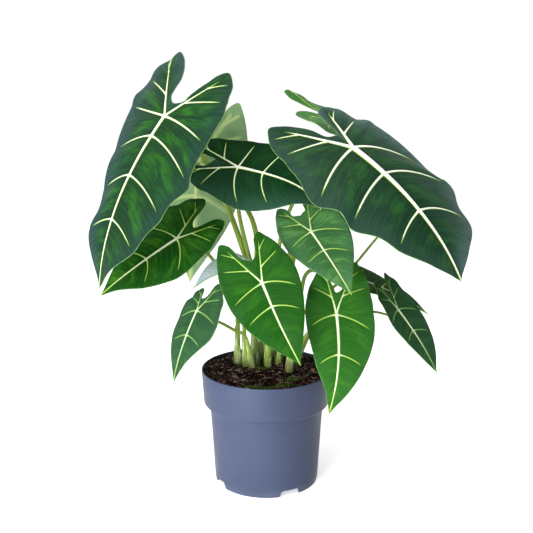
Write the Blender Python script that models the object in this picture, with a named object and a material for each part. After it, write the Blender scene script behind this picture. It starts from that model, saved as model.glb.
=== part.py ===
"""A frydek alocasia in its nursery pot.

The pot's axis is Z, with the ground at Z = 0 and the front of the plant towards -Y.
Each leaf is three solids: its blade, its raised net of pale veins and its stalk.
A blade follows one typical outline, made fuller or leaner at five stations a side,
laid on a midrib that droops, and bent across. Lengths are in millimetres below and
become metres where a mesh is made.
"""

import math
from dataclasses import dataclass

import bmesh
import bpy
import numpy as np

MM = 0.001
GAP = 0.3

# Pot
POT_HEIGHT = 152.6
POT_FOOT_RADIUS = 67.2
POT_WALL_TOP_RADIUS = 74.5
POT_BAND_FOOT_RADIUS = 82.3
POT_BAND_TOP_RADIUS = 85.0
POT_BAND_Z = 107.0
POT_WALL = 1.8
POT_FLOOR_Z = 9.4
POT_FLOOR = 2.0
POT_HUB_RADIUS = 16.0
POT_SEGMENTS = 40
NOTCH_ANGLES = (-63.5, 26.5, 116.5, 206.5)
NOTCH_WIDTH = 27.0
NOTCH_HEIGHT = 8.6
DRAIN_HOLE_RADIUS = 6.0
DRAIN_HOLE_CIRCLE = 48.0

# Potting mix
MIX_EDGE_Z = 146.5
MIX_ROUGHNESS = 1.6
MIX_RINGS = (76.0, 64.0, 51.0, 38.0, 24.0, 10.0)
MIX_SEED = 7

# Stalks
STALK_SIDES = 6
STALK_RINGS = 14
STALK_FOOT_Z = 136.0
STALK_STRAIGHT_Z = 156.0
STALK_SLIM_Z = 185.0
STALK_SLIMMING = 0.28
STALK_TAPER_POWER = 1.2

# Blades and veins
BLADE_THICKNESS = 1.0
VEIN_CLEAR = 0.9
VEIN_THICKNESS = 0.9
SIDE_VEIN_END = 0.86
SIDE_VEIN_SHARE = 0.5
SIDE_VEIN_TAPER = 0.45
VEIN_POINT = 0.35
RIB_HALF = 1.2
RIB_GROWTH = 0.006
QUILT_RUN = 0.62
WAVE_PACE = 1.9
WAVE_SHIFT = 2.3

# Half outline of the front of a blade: stations along the midrib and half widths, in midrib lengths.
FRONT_V = (-0.12, 0.05, 0.20, 0.38, 0.55, 0.72, 0.86, 0.95, 1.00)
FRONT_HALF = (0.430, 0.440, 0.425, 0.375, 0.295, 0.185, 0.085, 0.026, 0.000)
# Outer edge, inner edge and rib of a back lobe, in midrib lengths from the junction.
LOBE_OUTER = ((0.430, -0.12), (0.405, -0.23), (0.350, -0.36), (0.285, -0.47), (0.215, -0.545))
LOBE_INNER = ((0.215, -0.545), (0.145, -0.515), (0.105, -0.410), (0.080, -0.310), (0.045, -0.235),
              (0.0, -0.18))
LOBE_RIB = ((0.0, 0.0), (0.030, -0.075), (0.070, -0.175), (0.115, -0.290), (0.155, -0.395),
            (0.185, -0.470))
# Shares of the rib where the rows of a lobe start, and of the edge where they end.
OUTER_ROWS = ((0.00, 0.02), (0.17, 0.18), (0.36, 0.36), (0.56, 0.57), (0.76, 0.78), (1.00, 1.00))
INNER_ROWS = ((0.76, 0.22), (0.56, 0.42), (0.36, 0.62), (0.17, 0.82), (0.00, 1.00))
FULLNESS_V = (-0.12, 0.10, 0.33, 0.58, 0.80)
# How far the rows arch towards the tip, and how far the blade swells along them.
FRONT_ARCH = 0.36
OUTER_ARCHES = (0.15, 0.0, -0.06, -0.06, -0.06, -0.06)
OUTER_SWELLS = (1.0, 0.8, 0.0, 1.0, 0.0, 0.3)
INNER_SWELL = 0.3
INNER_CALM = 0.3
INNER_HUMP = (0.6, 1.0, 1.0, 0.5)
TIP_ROW_V = 0.93
LOBE_REACH = 0.62
HALF_BLADE = 0.44

LARGE = (0.0, 0.35, 0.70, 1.0)
SMALL = (0.0, 0.50, 1.0)


@dataclass
class Leaf:
    """One leaf: where its blade lies and how it bends, and how its stalk runs.

    joint and tip are the ends of the midrib, face is the way that its upper side looks
    (degrees to the right of the front, degrees above level), and stalk is the foot on the
    potting mix followed by the points that the stalk passes. Left and right are those of a
    blade that hangs with its upper side to the viewer.
    """

    name: str
    joint: tuple
    tip: tuple
    face: tuple
    stalk: tuple
    stalk_radii: tuple = (4.0, 2.0)
    veins: tuple = (0.0, 0.27, 0.54)
    right: tuple = (1.0, 1.0, 1.0, 1.0, 1.0)
    left: tuple = (1.0, 1.0, 1.0, 1.0, 1.0)
    lobe: tuple = (1.0, 1.0)
    splay: tuple = (0.0, 0.0)
    rise: tuple = (0.16, 0.16)
    drop: tuple = (0.0, 0.0)
    lean: tuple = (0.0, 0.0)
    inner: tuple = (0.0, 0.0)
    bow: float = 0.0
    scallop: float = 0.0
    sinus: float = 1.0
    droop: float = 20.0
    droop_power: float = 1.3
    curl: tuple = (0.0, 0.0)
    lobe_bend: tuple = (0.0, 0.0)
    quilt: float = 2.0
    wave: float = 1.5
    columns: tuple = LARGE
    crook: tuple = (0.10, 0.05)


def even(fullness):
    """The same fullness at all five stations."""
    return (fullness,) * 5


LEAVES = (
    Leaf("leaf_upper_left", (-119, -60, 481), (-196, -100, 284), (-42, 20),
         ((-2, 40), (-20, 44, 265), (-30, 38, 300), (-50, 28, 359), (-80, 10, 427)), (6.0, 2.6),
         veins=(0.0, 0.13, 0.37, 0.62), right=(0.80, 0.85, 1.0, 1.10, 1.32),
         left=(0.80, 0.70, 0.50, 0.50, 0.98), lobe=(0.62, 0.76), splay=(0.12, 0.16), rise=(0.21, 0.15),
         drop=(0.12, 0.17), lean=(0.01, 0.12), sinus=0.45, droop=40, curl=(-15, -15), quilt=2.0,
         wave=2.0),
    Leaf("leaf_lower_left", (-113, -10, 326), (-205, -50, 262), (-25, 30),
         ((-38, 20), (-40, 15, 240), (-58, 10, 277), (-80, 0, 308)), (4.5, 1.8), veins=(0.0, 0.39),
         right=(0.84, 0.93, 1.0, 1.0, 1.0), left=(1.0, 0.88, 0.8, 0.8, 0.8), lobe=(0.95, 1.0),
         splay=(-0.06, 0.08), rise=(0.30, 0.16), inner=(0.02, 0.01), sinus=1.2, droop=15, curl=(-10, -10)),
    Leaf("leaf_centre", (-35, -10, 416), (67, -52, 363), (5, 40),
         ((9, 32), (-7, 34, 235), (-14, 35, 265), (-23, 29, 295), (-36, 20, 358)), (5.0, 2.2),
         veins=(0.0, 0.27), right=(0.84, 0.95, 1.0, 1.0, 1.0), left=(0.84, 0.86, 0.97, 1.0, 1.0),
         lobe=(1.15, 1.0), splay=(-0.12, 0.12), rise=(0.05, 0.32), drop=(0.08, 0.08), inner=(0.025, 0.0),
         bow=0.045, sinus=1.5, droop=115, droop_power=5.0, curl=(-15, -30), wave=1.0, quilt=1.6),
    Leaf("leaf_upper_right", (102, -60, 444), (225, -115, 295), (35, 35),
         ((18, 40), (33, 24, 286), (44, 18, 330), (76, 0, 400)), (6.5, 3.0), veins=(0.0, 0.24, 0.53),
         right=(0.84, 0.64, 0.93, 1.4, 2.3), left=(0.93, 1.10, 1.13, 1.2, 1.5), lobe=(0.65, 0.72),
         splay=(-0.1, 0.2), rise=(0.33, 0.17), lean=(0.04, -0.04), inner=(0.0, 0.036), scallop=0.05,
         sinus=0.7, droop=40, curl=(-20, -15), quilt=1.9, wave=2.5),
    Leaf("leaf_back_left", (-92, 75, 412), (-107, 100, 243), (170, 20),
         ((-16, 18), (-14, 22, 260), (-14, 34, 325), (-36, 54, 365)), (6.0, 2.4), right=even(0.9),
         left=even(0.82), lobe=(0.9, 0.95), splay=(0.1, 0.22), droop=20),
    Leaf("leaf_front", (-5, -100, 290), (40, -125, 197), (0, 25),
         ((2, 12), (2, -18, 220), (-2, -68, 275)), (4.5, 2.0), veins=(0.0, 0.28), right=even(0.93),
         left=(1.0, 1.0, 0.97, 0.95, 0.95), lobe=(1.0, 1.07), splay=(0.0, 0.06), rise=(0.22, 0.13),
         bow=-0.02, sinus=1.5, droop=15),
    Leaf("leaf_front_right", (85, -65, 246), (76, -90, 122), (12, 15),
         ((30, -4), (40, -10, 220), (48, -30, 282), (66, -44, 290)), (4.5, 1.9), veins=(0.03, 0.41),
         right=(0.85, 0.88, 0.87, 0.88, 0.9), left=(0.7, 0.7, 0.7, 0.7, 0.6), lobe=(0.9, 0.8), bow=0.045,
         droop=20, curl=(-10, -10), crook=(0.14, -0.25)),
    Leaf("leaf_mid_right", (54, -55, 343), (99, -110, 278), (0, 30),
         ((16, 22), (24, 8, 240), (28, 4, 301), (42, -22, 330)), (4.0, 1.8), veins=(0.0, 0.32),
         right=even(1.0), left=(0.9, 0.88, 0.85, 0.8, 0.8), rise=(0.26, 0.11), sinus=1.6, droop=20),
    Leaf("leaf_far_right", (170, 0, 231), (218, -30, 155), (35, 25),
         ((36, 7), (46, 6, 185), (66, 8, 208), (100, 10, 221), (140, 10, 225)), (3.5, 1.3),
         veins=(0.0, 0.35), right=(0.65, 0.7, 0.75, 0.8, 0.8), left=(0.5, 0.55, 0.6, 0.65, 0.7),
         lobe=(1.0, 0.9), splay=(0.15, -0.12), droop=20, quilt=1.0, wave=1.0, columns=SMALL),
    Leaf("leaf_right_level", (115, 30, 267), (217, 40, 214), (0, 70),
         ((40, 20), (62, 24, 200), (88, 27, 232)), (3.5, 1.4), veins=(0.0, 0.35), right=even(0.6),
         left=even(0.45), droop=20, quilt=1.0, wave=1.0, columns=SMALL),
    Leaf("leaf_small_left", (-86, -50, 243), (-114, -80, 160), (-45, 20),
         ((-19, 2), (-27, -10, 197), (-41, -20, 209), (-60, -34, 224)), (3.5, 1.5), veins=(0.0, 0.35),
         right=(1.0, 1.12, 1.15, 0.9, 0.85), left=(0.62, 0.64, 0.68, 0.7, 0.7), lobe=(0.8, 0.6),
         splay=(0.0, -0.1), droop=20, quilt=1.0, wave=1.0, columns=SMALL),
    Leaf("leaf_top_back", (102, 60, 466), (219, 110, 372), (60, 70),
         ((8, 52), (20, 56, 320), (70, 60, 420)), (4.5, 2.0), veins=(0.0, 0.35),
         right=(0.55, 0.36, 0.4, 0.5, 0.5), left=(0.8, 1.1, 1.0, 0.8, 0.8), lobe=(0.96, 0.88),
         splay=(-0.22, -0.05), lean=(0.10, 0.0), inner=(0.0, 0.0), droop=40, curl=(6, -12),
         lobe_bend=(10, -9), columns=SMALL, wave=0.8, quilt=1.4),
    Leaf("leaf_left_level", (-33, -20, 298), (-90, -50, 272), (0, 80),
         ((-27, 10), (-30, 0, 220), (-32, -12, 270)), (4.0, 1.6), veins=(0.0, 0.35),
         right=(0.5, 0.35, 0.25, 0.25, 0.25), left=(1.1, 1.1, 1.1, 1.1, 1.1), droop=20, quilt=0.6,
         wave=0.4, columns=SMALL),
    Leaf("leaf_hidden_right", (170, 10, 357), (208, 10, 305), (30, 40),
         ((30, 50), (34, 44, 190), (60, 22, 232), (92, 0, 266), (115, 0, 293), (140, 8, 322)), (3.5, 1.3),
         veins=(0.0, 0.35), right=even(0.9), left=even(0.9), droop=20, quilt=1.0, wave=1.0, columns=SMALL),
)

POT_BLUE = (0.125, 0.143, 0.252)
MIX_BROWN = (0.020, 0.012, 0.009)
BLADE_GREEN = (0.020, 0.085, 0.026)
BLADE_BRIGHT = (0.050, 0.170, 0.018)
VEIN_CREAM = (0.80, 0.84, 0.55)
STALK_GREEN = (0.240, 0.300, 0.055)
BRIGHT_LEAVES = ("leaf_front", "leaf_mid_right", "leaf_front_right", "leaf_lower_left")


def unit(vector):
    """The vector at length one."""
    return vector / np.linalg.norm(vector)


def along(points, share):
    """Point of a flat polyline at a share of its length."""
    points = np.asarray(points, float)
    steps = np.linalg.norm(np.diff(points, axis=0), axis=1)
    reach = np.concatenate([[0.0], np.cumsum(steps)]) / steps.sum()
    return np.array([np.interp(share, reach, points[:, 0]), np.interp(share, reach, points[:, 1])])


def half_width(v):
    """Half width of the typical blade at a station, from a smooth curve."""
    stations, values = np.array(FRONT_V), np.array(FRONT_HALF)
    slopes = np.gradient(values, stations)
    k = int(np.clip(np.searchsorted(stations, v) - 1, 0, len(stations) - 2))
    span = stations[k + 1] - stations[k]
    t = (v - stations[k]) / span
    bend = span * (slopes[k] * t * (1 - t) ** 2 - slopes[k + 1] * t * t * (1 - t))
    return values[k] + (values[k + 1] - values[k]) * t * t * (3 - 2 * t) + bend


def fullness_at(fullness, v):
    """Fullness of one side at a station, easing between the five that are given."""
    k = int(np.clip(np.searchsorted(FULLNESS_V, v) - 1, 0, 3))
    t = min(1.0, max(0.0, (v - FULLNESS_V[k]) / (FULLNESS_V[k + 1] - FULLNESS_V[k])))
    return fullness[k] + (fullness[k + 1] - fullness[k]) * t * t * (3 - 2 * t)


def lobe_point(leaf, side, point, shift=0.0, middle_keeps=False):
    """A point of the typical back lobe, stretched and splayed as this leaf's lobe is."""
    pick = 0 if side < 0 else 1
    fullness = (leaf.right if side < 0 else leaf.left)[0]
    reach = -point[1]
    share = min(1.0, 0.4 + max(0.0, (reach - 0.10) / 0.4)) if middle_keeps else 1.0
    lean = leaf.splay[pick] * share + shift
    return np.array([point[0] * fullness + lean * reach, -reach * leaf.lobe[pick]])


@dataclass
class Row:
    """A row of a half blade: where it starts and ends, its arch, its swell and its kind."""

    start: np.ndarray
    end: np.ndarray
    arch: float
    swell: float
    kind: str

    def point(self, share):
        """Point at a share of the row, in midrib lengths."""
        middle = (self.start + self.end) / 2
        middle[1] -= self.arch * (self.end[1] - self.start[1])
        return (1 - share) ** 2 * self.start + 2 * share * (1 - share) * middle + share ** 2 * self.end


def blade_rows(leaf, side):
    """Rows of a half blade from the tip round the lobe to the notch."""
    fullness, pick = (leaf.right, 0) if side < 0 else (leaf.left, 1)
    tip, hub = np.array([0.0, 1.0]), np.array([0.0, leaf.veins[0]])
    rows = [Row(tip, tip, 0.0, 0.0, "tip")]
    stations = [(TIP_ROW_V, "tip"), ((TIP_ROW_V + leaf.veins[-1]) / 2, "crest")]
    for k in range(len(leaf.veins) - 1, -1, -1):
        stations.append((leaf.veins[k], "vein"))
        if k > 0:
            stations.append(((leaf.veins[k] + leaf.veins[k - 1]) / 2, "crest"))
    for v, kind in stations:
        swell = 1.0 if kind == "crest" else 0.0
        edge = v + min(leaf.rise[pick] * math.sqrt(1 - v), 0.6 * (1 - v))
        if v == leaf.veins[0]:
            edge -= leaf.drop[pick]
        half = fullness_at(fullness, edge) * half_width(edge) * (1 + leaf.scallop * (0.5 - swell))
        rows.append(Row(np.array([0.0, v]), np.array([half, edge]), FRONT_ARCH, swell, kind))
    for k, (rib_share, edge_share) in enumerate(OUTER_ROWS):
        kind = ("crest", "crest", "vein", "crest", "vein", "end")[k]
        start = lobe_point(leaf, side, along(LOBE_RIB, rib_share), leaf.lean[pick]) if k > 0 else hub
        end = lobe_point(leaf, side, along(LOBE_OUTER, edge_share))
        rows.append(Row(start, end, OUTER_ARCHES[k], OUTER_SWELLS[k], kind))
    notch = LOBE_INNER[-1][1] * leaf.sinus
    for (rib_share, edge_share), hump in zip(INNER_ROWS[:-1], INNER_HUMP):
        start = lobe_point(leaf, side, along(LOBE_RIB, rib_share), leaf.lean[pick])
        edge = lobe_point(leaf, side, along(LOBE_INNER, edge_share), middle_keeps=True)
        edge[0] = max(edge[0] - leaf.inner[pick] * hump, 0.004)
        if edge_share > 0.8:
            edge[1] = (edge[1] * (1 + leaf.sinus) / 2 + notch - 0.02) / 2
        rows.append(Row(start, edge, 0.0, INNER_SWELL, "inner"))
    rows.append(Row(hub, np.array([0.0, notch]), 0.0, INNER_SWELL, "inner"))
    return rows


def blade_frame(leaf):
    """Junction, turn, midrib length and drooping curve that carry a blade."""
    turn = math.radians(leaf.droop)
    t = np.linspace(0, 1, 61)
    pitch = -turn * t ** leaf.droop_power
    heading = np.stack([np.cos(pitch), 0 * pitch, np.sin(pitch)], -1)
    curve = np.vstack([np.zeros(3), np.cumsum((heading[1:] + heading[:-1]) / 120, axis=0)])
    joint, tip = np.array(leaf.joint, float), np.array(leaf.tip, float)
    length = np.linalg.norm(tip - joint) / np.linalg.norm(curve[-1])
    near, far = unit(curve[-1]), unit(tip - joint)
    up = unit(np.array([0, 0, 1.0]) - near[2] * near)
    azimuth, elevation = map(math.radians, leaf.face)
    face = np.array([math.sin(azimuth) * math.cos(elevation), -math.cos(azimuth) * math.cos(elevation),
                     math.sin(elevation)])
    face = unit(face - face @ far * far)
    own = np.stack([near, np.cross(up, near), up], 1)
    world = np.stack([far, np.cross(face, far), face], 1)
    return joint, world @ own.T, length, t, curve


def blade_point(leaf, frame, side, u, v, rise):
    """World point of a blade at u, v in midrib lengths, raised along its normal."""
    joint, turn, length, t, curve = frame
    if v >= 0:
        centre = np.array([np.interp(v, t, curve[:, k]) for k in range(3)])
        centre[1] += leaf.bow * math.sin(math.pi * v)
        pitch = -math.radians(leaf.droop) * v ** leaf.droop_power
    else:
        right, left = map(math.radians, leaf.lobe_bend)
        mix = min(1.0, max(0.0, 0.5 + side * u / 0.16))
        mix = mix * mix * (3 - 2 * mix)
        rate = (right * (1 - mix) + left * mix) / LOBE_REACH
        pitch = rate * v
        centre = np.array([v, 0.0, 0.0])
        if abs(rate) > 1e-6:
            centre = np.array([math.sin(pitch) / rate, 0.0, (1 - math.cos(pitch)) / rate])
    heading = np.array([math.cos(pitch), 0.0, math.sin(pitch)])
    normal = np.array([-math.sin(pitch), 0.0, math.cos(pitch)])
    bend = math.radians(leaf.curl[0 if side < 0 else 1]) / HALF_BLADE
    out, high = u, 0.0
    if abs(bend) > 1e-6:
        out, high = math.sin(bend * u) / bend, (1 - math.cos(bend * u)) / bend
    local = centre + np.cross(heading, normal) * side * out + normal * (high + rise / length)
    return joint + turn @ (local * length)


def row_rise(leaf, rows, k, share, side):
    """Height of the quilting between the veins and of the wave at the edge."""
    rise = leaf.quilt * math.sin(math.pi / 2 * rows[k].swell) * math.sin(math.pi * QUILT_RUN * share)
    fade = min(1.0, k / 2) * min(1.0, (len(rows) - 1 - k) / 3)
    fade *= INNER_CALM if rows[k].kind == "inner" else 1.0
    return rise + leaf.wave * share ** 2 * fade * math.sin(WAVE_PACE * k + WAVE_SHIFT * side)


class Sheet:
    """Upper face of a blade: points shared by both halves, triangles and normals."""

    def __init__(self, leaf):
        self.leaf = leaf
        self.points = []
        self.keys = {}
        self.grid = {}
        self.triangles = []
        self.kinds = [row.kind for row in blade_rows(leaf, 1)]
        self.front = 2 + 2 * len(leaf.veins)
        frame = blade_frame(leaf)
        self.length = frame[2]
        for side in (-1, 1):
            rows = blade_rows(leaf, side)
            for k, row in enumerate(rows):
                for j, share in enumerate(leaf.columns):
                    key = self.key(side, k, j, len(rows))
                    if key not in self.keys:
                        u, v = row.point(share)
                        rise = row_rise(leaf, rows, k, share, side)
                        self.keys[key] = len(self.points)
                        self.points.append(blade_point(leaf, frame, side, u, v, rise))
                    self.grid[side, k, j] = self.keys[key]
            self.tile(side, len(rows))
        self.points = np.array(self.points)
        self.normals = self.vertex_normals()

    def key(self, side, k, j, count):
        """Name of a point, the same from both halves and both sides of a rib."""
        if k == 0:
            return "tip"
        if k == count - 1:
            return ("rib", 0, self.front - 1) if j == 0 else ("notch", j)
        if j == 0 and k <= self.front:
            return ("rib", 0, min(k, self.front - 1))
        if j == 0 and self.kinds[k] == "inner":
            return ("rib", side, self.front + count - 1 - k)
        if j == 0:
            return ("rib", side, k)
        return (side, k, j)

    def tile(self, side, count):
        """Triangles of a half blade, wound so that they face up."""
        for k in range(count - 1):
            for j in range(len(self.leaf.columns) - 1):
                quad = [self.grid[side, k, j], self.grid[side, k, j + 1],
                        self.grid[side, k + 1, j + 1], self.grid[side, k + 1, j]]
                if side > 0:
                    quad.reverse()
                for triangle in ((quad[0], quad[1], quad[2]), (quad[0], quad[2], quad[3])):
                    if len(set(triangle)) == 3:
                        self.triangles.append(triangle)

    def vertex_normals(self):
        """Normal at each point, the mean of its triangles' normals by area."""
        normals = np.zeros_like(self.points)
        for a, b, c in self.triangles:
            area = np.cross(self.points[b] - self.points[a], self.points[c] - self.points[a])
            normals[a] += area
            normals[b] += area
            normals[c] += area
        return normals / np.linalg.norm(normals, axis=1)[:, None]

    def at(self, first, second, share):
        """Point and normal between two mesh points."""
        point = self.points[first] * (1 - share) + self.points[second] * share
        return point, unit(self.normals[first] * (1 - share) + self.normals[second] * share)


def closed_sheet(upper, lower, triangles):
    """Points and triangles of the closed solid between two alike faces."""
    count = len(upper)
    faces = list(triangles) + [(c + count, b + count, a + count) for a, b, c in triangles]
    edges = {(a, b) for t in triangles for a, b in (t[:2], t[1:], (t[2], t[0]))}
    for a, b in sorted(edges):
        if (b, a) not in edges:
            faces.append((b, a, a + count))
            faces.append((b, a + count, b + count))
    return np.vstack([upper, lower]), faces


class VeinNet:
    """Ribbons that share their corners, raised over a blade as one closed body."""

    def __init__(self, sheet):
        self.sheet = sheet
        self.points = []
        self.normals = []
        self.quads = []
        self.rib_half = RIB_HALF + RIB_GROWTH * sheet.length
        self.side_half = SIDE_VEIN_SHARE * self.rib_half
        self.last = len(sheet.leaf.columns) - 1

    def corner(self, point, normal):
        """A new corner of the net."""
        self.points.append(point)
        self.normals.append(normal)
        return len(self.points) - 1

    def station(self, first, second, share, half, hint):
        """Two corners either side of a line between mesh points; the second is towards hint."""
        point, normal = self.sheet.at(first, second, share)
        run = self.sheet.points[second] - self.sheet.points[first]
        across = unit(np.cross(normal, run))
        if across @ hint < 0:
            across = -across
        return self.corner(point - across * half, normal), self.corner(point + across * half, normal)

    def ribbon(self, stations):
        """Quads from each pair of corners to the next."""
        for (a, b), (c, d) in zip(stations[:-1], stations[1:]):
            self.quads.append((a, b, d, c))

    def side_vein(self, root, side, row):
        """A vein that leaves a rib by the edge root and follows a row of the blade."""
        grid, sheet = self.sheet.grid, self.sheet
        hint = self.points[root[1]] - self.points[root[0]]
        stations = [root]
        for j in range(1, self.last):
            half = self.side_half * (1 - SIDE_VEIN_TAPER * sheet.leaf.columns[j])
            stations.append(self.station(grid[side, row, j], grid[side, row, j + 1], 0.0, half, hint))
        start = sheet.leaf.columns[self.last - 1]
        share = (SIDE_VEIN_END - start) / (1 - start)
        stations.append(self.station(grid[side, row, self.last - 1], grid[side, row, self.last], share,
                                     VEIN_POINT * self.side_half, hint))
        self.ribbon(stations)

    def branch_stations(self, line, k, half, hint):
        """Two stations either side of point k of a rib, where a side vein leaves."""
        sheet = self.sheet
        before = self.side_half / np.linalg.norm(sheet.points[line[k]] - sheet.points[line[k - 1]])
        after = self.side_half / np.linalg.norm(sheet.points[line[k + 1]] - sheet.points[line[k]])
        return (self.station(line[k - 1], line[k], 1 - before, half, hint),
                self.station(line[k], line[k + 1], after, half, hint))

    def build(self):
        """The midrib, its side veins, the two ribs of the lobes and their side veins."""
        sheet, leaf = self.sheet, self.sheet.leaf
        grid, front = sheet.grid, sheet.front
        middle = [grid[1, k, 0] for k in range(front)]
        joint, normal = sheet.points[middle[-1]], sheet.normals[middle[-1]]
        ahead = unit(sheet.points[middle[-2]] - joint)
        left = unit(np.cross(ahead, normal))
        stations = [self.station(middle[0], middle[1], 0.4, 0.4, left)]
        roots = []
        for k in range(1, front - 1):
            half = self.rib_half * (0.3 + 0.7 * k / (front - 1))
            if sheet.kinds[k] == "vein":
                pair = self.branch_stations(middle, k, half, left)
                stations.extend(pair)
                roots.append((k, pair))
            else:
                stations.append(self.station(middle[k], middle[k + 1], 0.0, half, left))
        step = self.side_half * 1.1 / np.linalg.norm(sheet.points[middle[-2]] - joint)
        stations.append(self.station(middle[-2], middle[-1], 1 - step, self.rib_half, left))
        self.ribbon(stations)
        for k, (ahead_pair, behind_pair) in roots:
            self.side_vein((behind_pair[0], ahead_pair[0]), -1, k)
            self.side_vein((behind_pair[1], ahead_pair[1]), 1, k)
        hub = {side: self.corner(joint + left * side * self.rib_half * 1.25 - ahead * self.side_half * 1.1,
                                 normal) for side in (-1, 1)}
        back = self.corner(joint - ahead * self.rib_half * 1.7, normal)
        low, high = stations[-1]
        self.quads.append((low, high, hub[1], back))
        self.quads.append((low, back, hub[-1]))
        self.side_vein((hub[-1], low), -1, front - 1)
        self.side_vein((hub[1], high), 1, front - 1)
        for side in (-1, 1):
            self.lobe_rib(side, (back, hub[side]), left * side, front)

    def lobe_rib(self, side, root, outward, front):
        """The rib of one lobe, which carries two side veins on its outer side."""
        grid = self.sheet.grid
        line = [grid[side, front + k, 0] for k in range(6)]
        stations, roots = [root], []
        for k in range(1, 5):
            half = self.rib_half * (0.62 - 0.09 * k)
            if k in (2, 4):
                pair = self.branch_stations(line, k, half, outward)
                stations.extend(pair)
                roots.append((k, pair))
            else:
                stations.append(self.station(line[k], line[k + 1], 0.0, half, outward))
        stations.append(self.station(line[4], line[5], 0.95, VEIN_POINT * self.side_half, outward))
        self.ribbon(stations)
        for k, (near_pair, far_pair) in roots:
            self.side_vein((far_pair[1], near_pair[1]), side, front + k)

    def solid(self):
        """Points and triangles of the closed net."""
        self.build()
        points, normals = np.array(self.points), np.array(self.normals)
        triangles = []
        for quad in self.quads:
            a, b, c = (points[k] for k in quad[:3])
            middle = sum(normals[k] for k in quad)
            if np.cross(b - a, c - a) @ middle < 0:
                quad = quad[::-1]
            triangles.append(quad[:3])
            if len(quad) == 4:
                triangles.append((quad[0], quad[2], quad[3]))
        lower = points + normals * VEIN_CLEAR
        return closed_sheet(lower + normals * VEIN_THICKNESS, lower, triangles)


def smooth_path(points, count):
    """Points at even spacing on a smooth curve through a short list of points."""
    points = np.asarray(points, float)
    padded = np.vstack([2 * points[0] - points[1], points, 2 * points[-1] - points[-2]])
    dense = []
    for k in range(1, len(padded) - 2):
        a, b, c, d = padded[k - 1:k + 3]
        for t in np.linspace(0, 1, 24, endpoint=False):
            dense.append(0.5 * (2 * b + (c - a) * t + (2 * a - 5 * b + 4 * c - d) * t ** 2
                                + (3 * b - a - 3 * c + d) * t ** 3))
    dense = np.array(dense + [padded[-2]])
    reach = np.concatenate([[0.0], np.cumsum(np.linalg.norm(np.diff(dense, axis=0), axis=1))])
    wanted = np.linspace(0, reach[-1], count)
    return np.stack([np.interp(wanted, reach, dense[:, k]) for k in range(3)], -1)


def stalk_solid(leaf, sheet):
    """Points and triangles of a stalk from its foot in the mix to the underside of its blade."""
    junction = sheet.grid[1, sheet.front - 1, 0]
    joint, normal = sheet.points[junction], sheet.normals[junction]
    (foot_x, foot_y), *route = leaf.stalk
    end = joint - normal * (BLADE_THICKNESS + 2 * GAP)
    crook = joint - normal * leaf.crook[0] * sheet.length - np.array([0, 0, leaf.crook[1] * sheet.length])
    upper = smooth_path([(foot_x, foot_y, STALK_STRAIGHT_Z), *route, crook, end], STALK_RINGS - 1)
    path = np.vstack([[foot_x, foot_y, STALK_FOOT_Z], upper])
    headings = np.gradient(path, axis=0)
    headings[0] = headings[1] = (0, 0, 1)
    headings[-1] = normal
    foot, top = leaf.stalk_radii
    side = np.array([1.0, 0.0, 0.0])
    points, faces = [], []
    for k, (centre, heading) in enumerate(zip(path, headings)):
        heading = unit(heading)
        side = unit(side - side @ heading * heading)
        other = np.cross(heading, side)
        slim = min(1.0, max(0.0, (centre[2] - STALK_STRAIGHT_Z) / (STALK_SLIM_Z - STALK_STRAIGHT_Z)))
        thick = foot * (1 - STALK_SLIMMING * slim)
        radius = thick + (top - thick) * (k / (len(path) - 1)) ** STALK_TAPER_POWER
        for angle in np.arange(STALK_SIDES) * 2 * math.pi / STALK_SIDES:
            points.append(centre + radius * (side * math.cos(angle) + other * math.sin(angle)))
    for k in range(len(path) - 1):
        for a in range(STALK_SIDES):
            b = (a + 1) % STALK_SIDES
            low, high = k * STALK_SIDES, (k + 1) * STALK_SIDES
            faces.append((low + a, low + b, high + b))
            faces.append((low + a, high + b, high + a))
    last = (len(path) - 1) * STALK_SIDES
    for a in range(1, STALK_SIDES - 1):
        faces.append((0, a + 1, a))
        faces.append((last, last + a, last + a + 1))
    return np.array(points), faces


def material(name, colour, roughness):
    """A Principled material."""
    made = bpy.data.materials.new(name)
    made.use_nodes = True
    shader = made.node_tree.nodes["Principled BSDF"]
    shader.inputs["Base Color"].default_value = (*colour, 1.0)
    shader.inputs["Roughness"].default_value = roughness
    shader.inputs["Metallic"].default_value = 0.0
    return made


def add_object(name, points, faces, finish, smooth_angle=None):
    """An object with the mesh of these points, given in millimetres."""
    mesh = bpy.data.meshes.new(name)
    mesh.from_pydata([tuple(point * MM) for point in points], [], [tuple(map(int, f)) for f in faces])
    mesh.update()
    built = bpy.data.objects.new(name, mesh)
    bpy.context.scene.collection.objects.link(built)
    mesh.materials.append(finish)
    if smooth_angle is not None:
        mesh.shade_smooth()
        mesh.set_sharp_from_angle(angle=math.radians(smooth_angle))
    return built


def turned(profile, segments):
    """Points and faces of a closed solid turned round Z; the profile starts and ends on the axis."""
    points = [np.array([0.0, 0.0, profile[0][1]])]
    rings = profile[1:-1]
    for radius, z in rings:
        for k in range(segments):
            angle = 2 * math.pi * k / segments
            points.append(np.array([radius * math.cos(angle), radius * math.sin(angle), z]))
    points.append(np.array([0.0, 0.0, profile[-1][1]]))
    faces = []
    for k in range(segments):
        m = (k + 1) % segments
        faces.append((0, 1 + m, 1 + k))
        for ring in range(len(rings) - 1):
            low, high = 1 + ring * segments, 1 + (ring + 1) * segments
            faces.append((low + k, low + m, high + m, high + k))
        top = 1 + (len(rings) - 1) * segments
        faces.append((top + k, top + m, len(points) - 1))
    return points, faces


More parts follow.
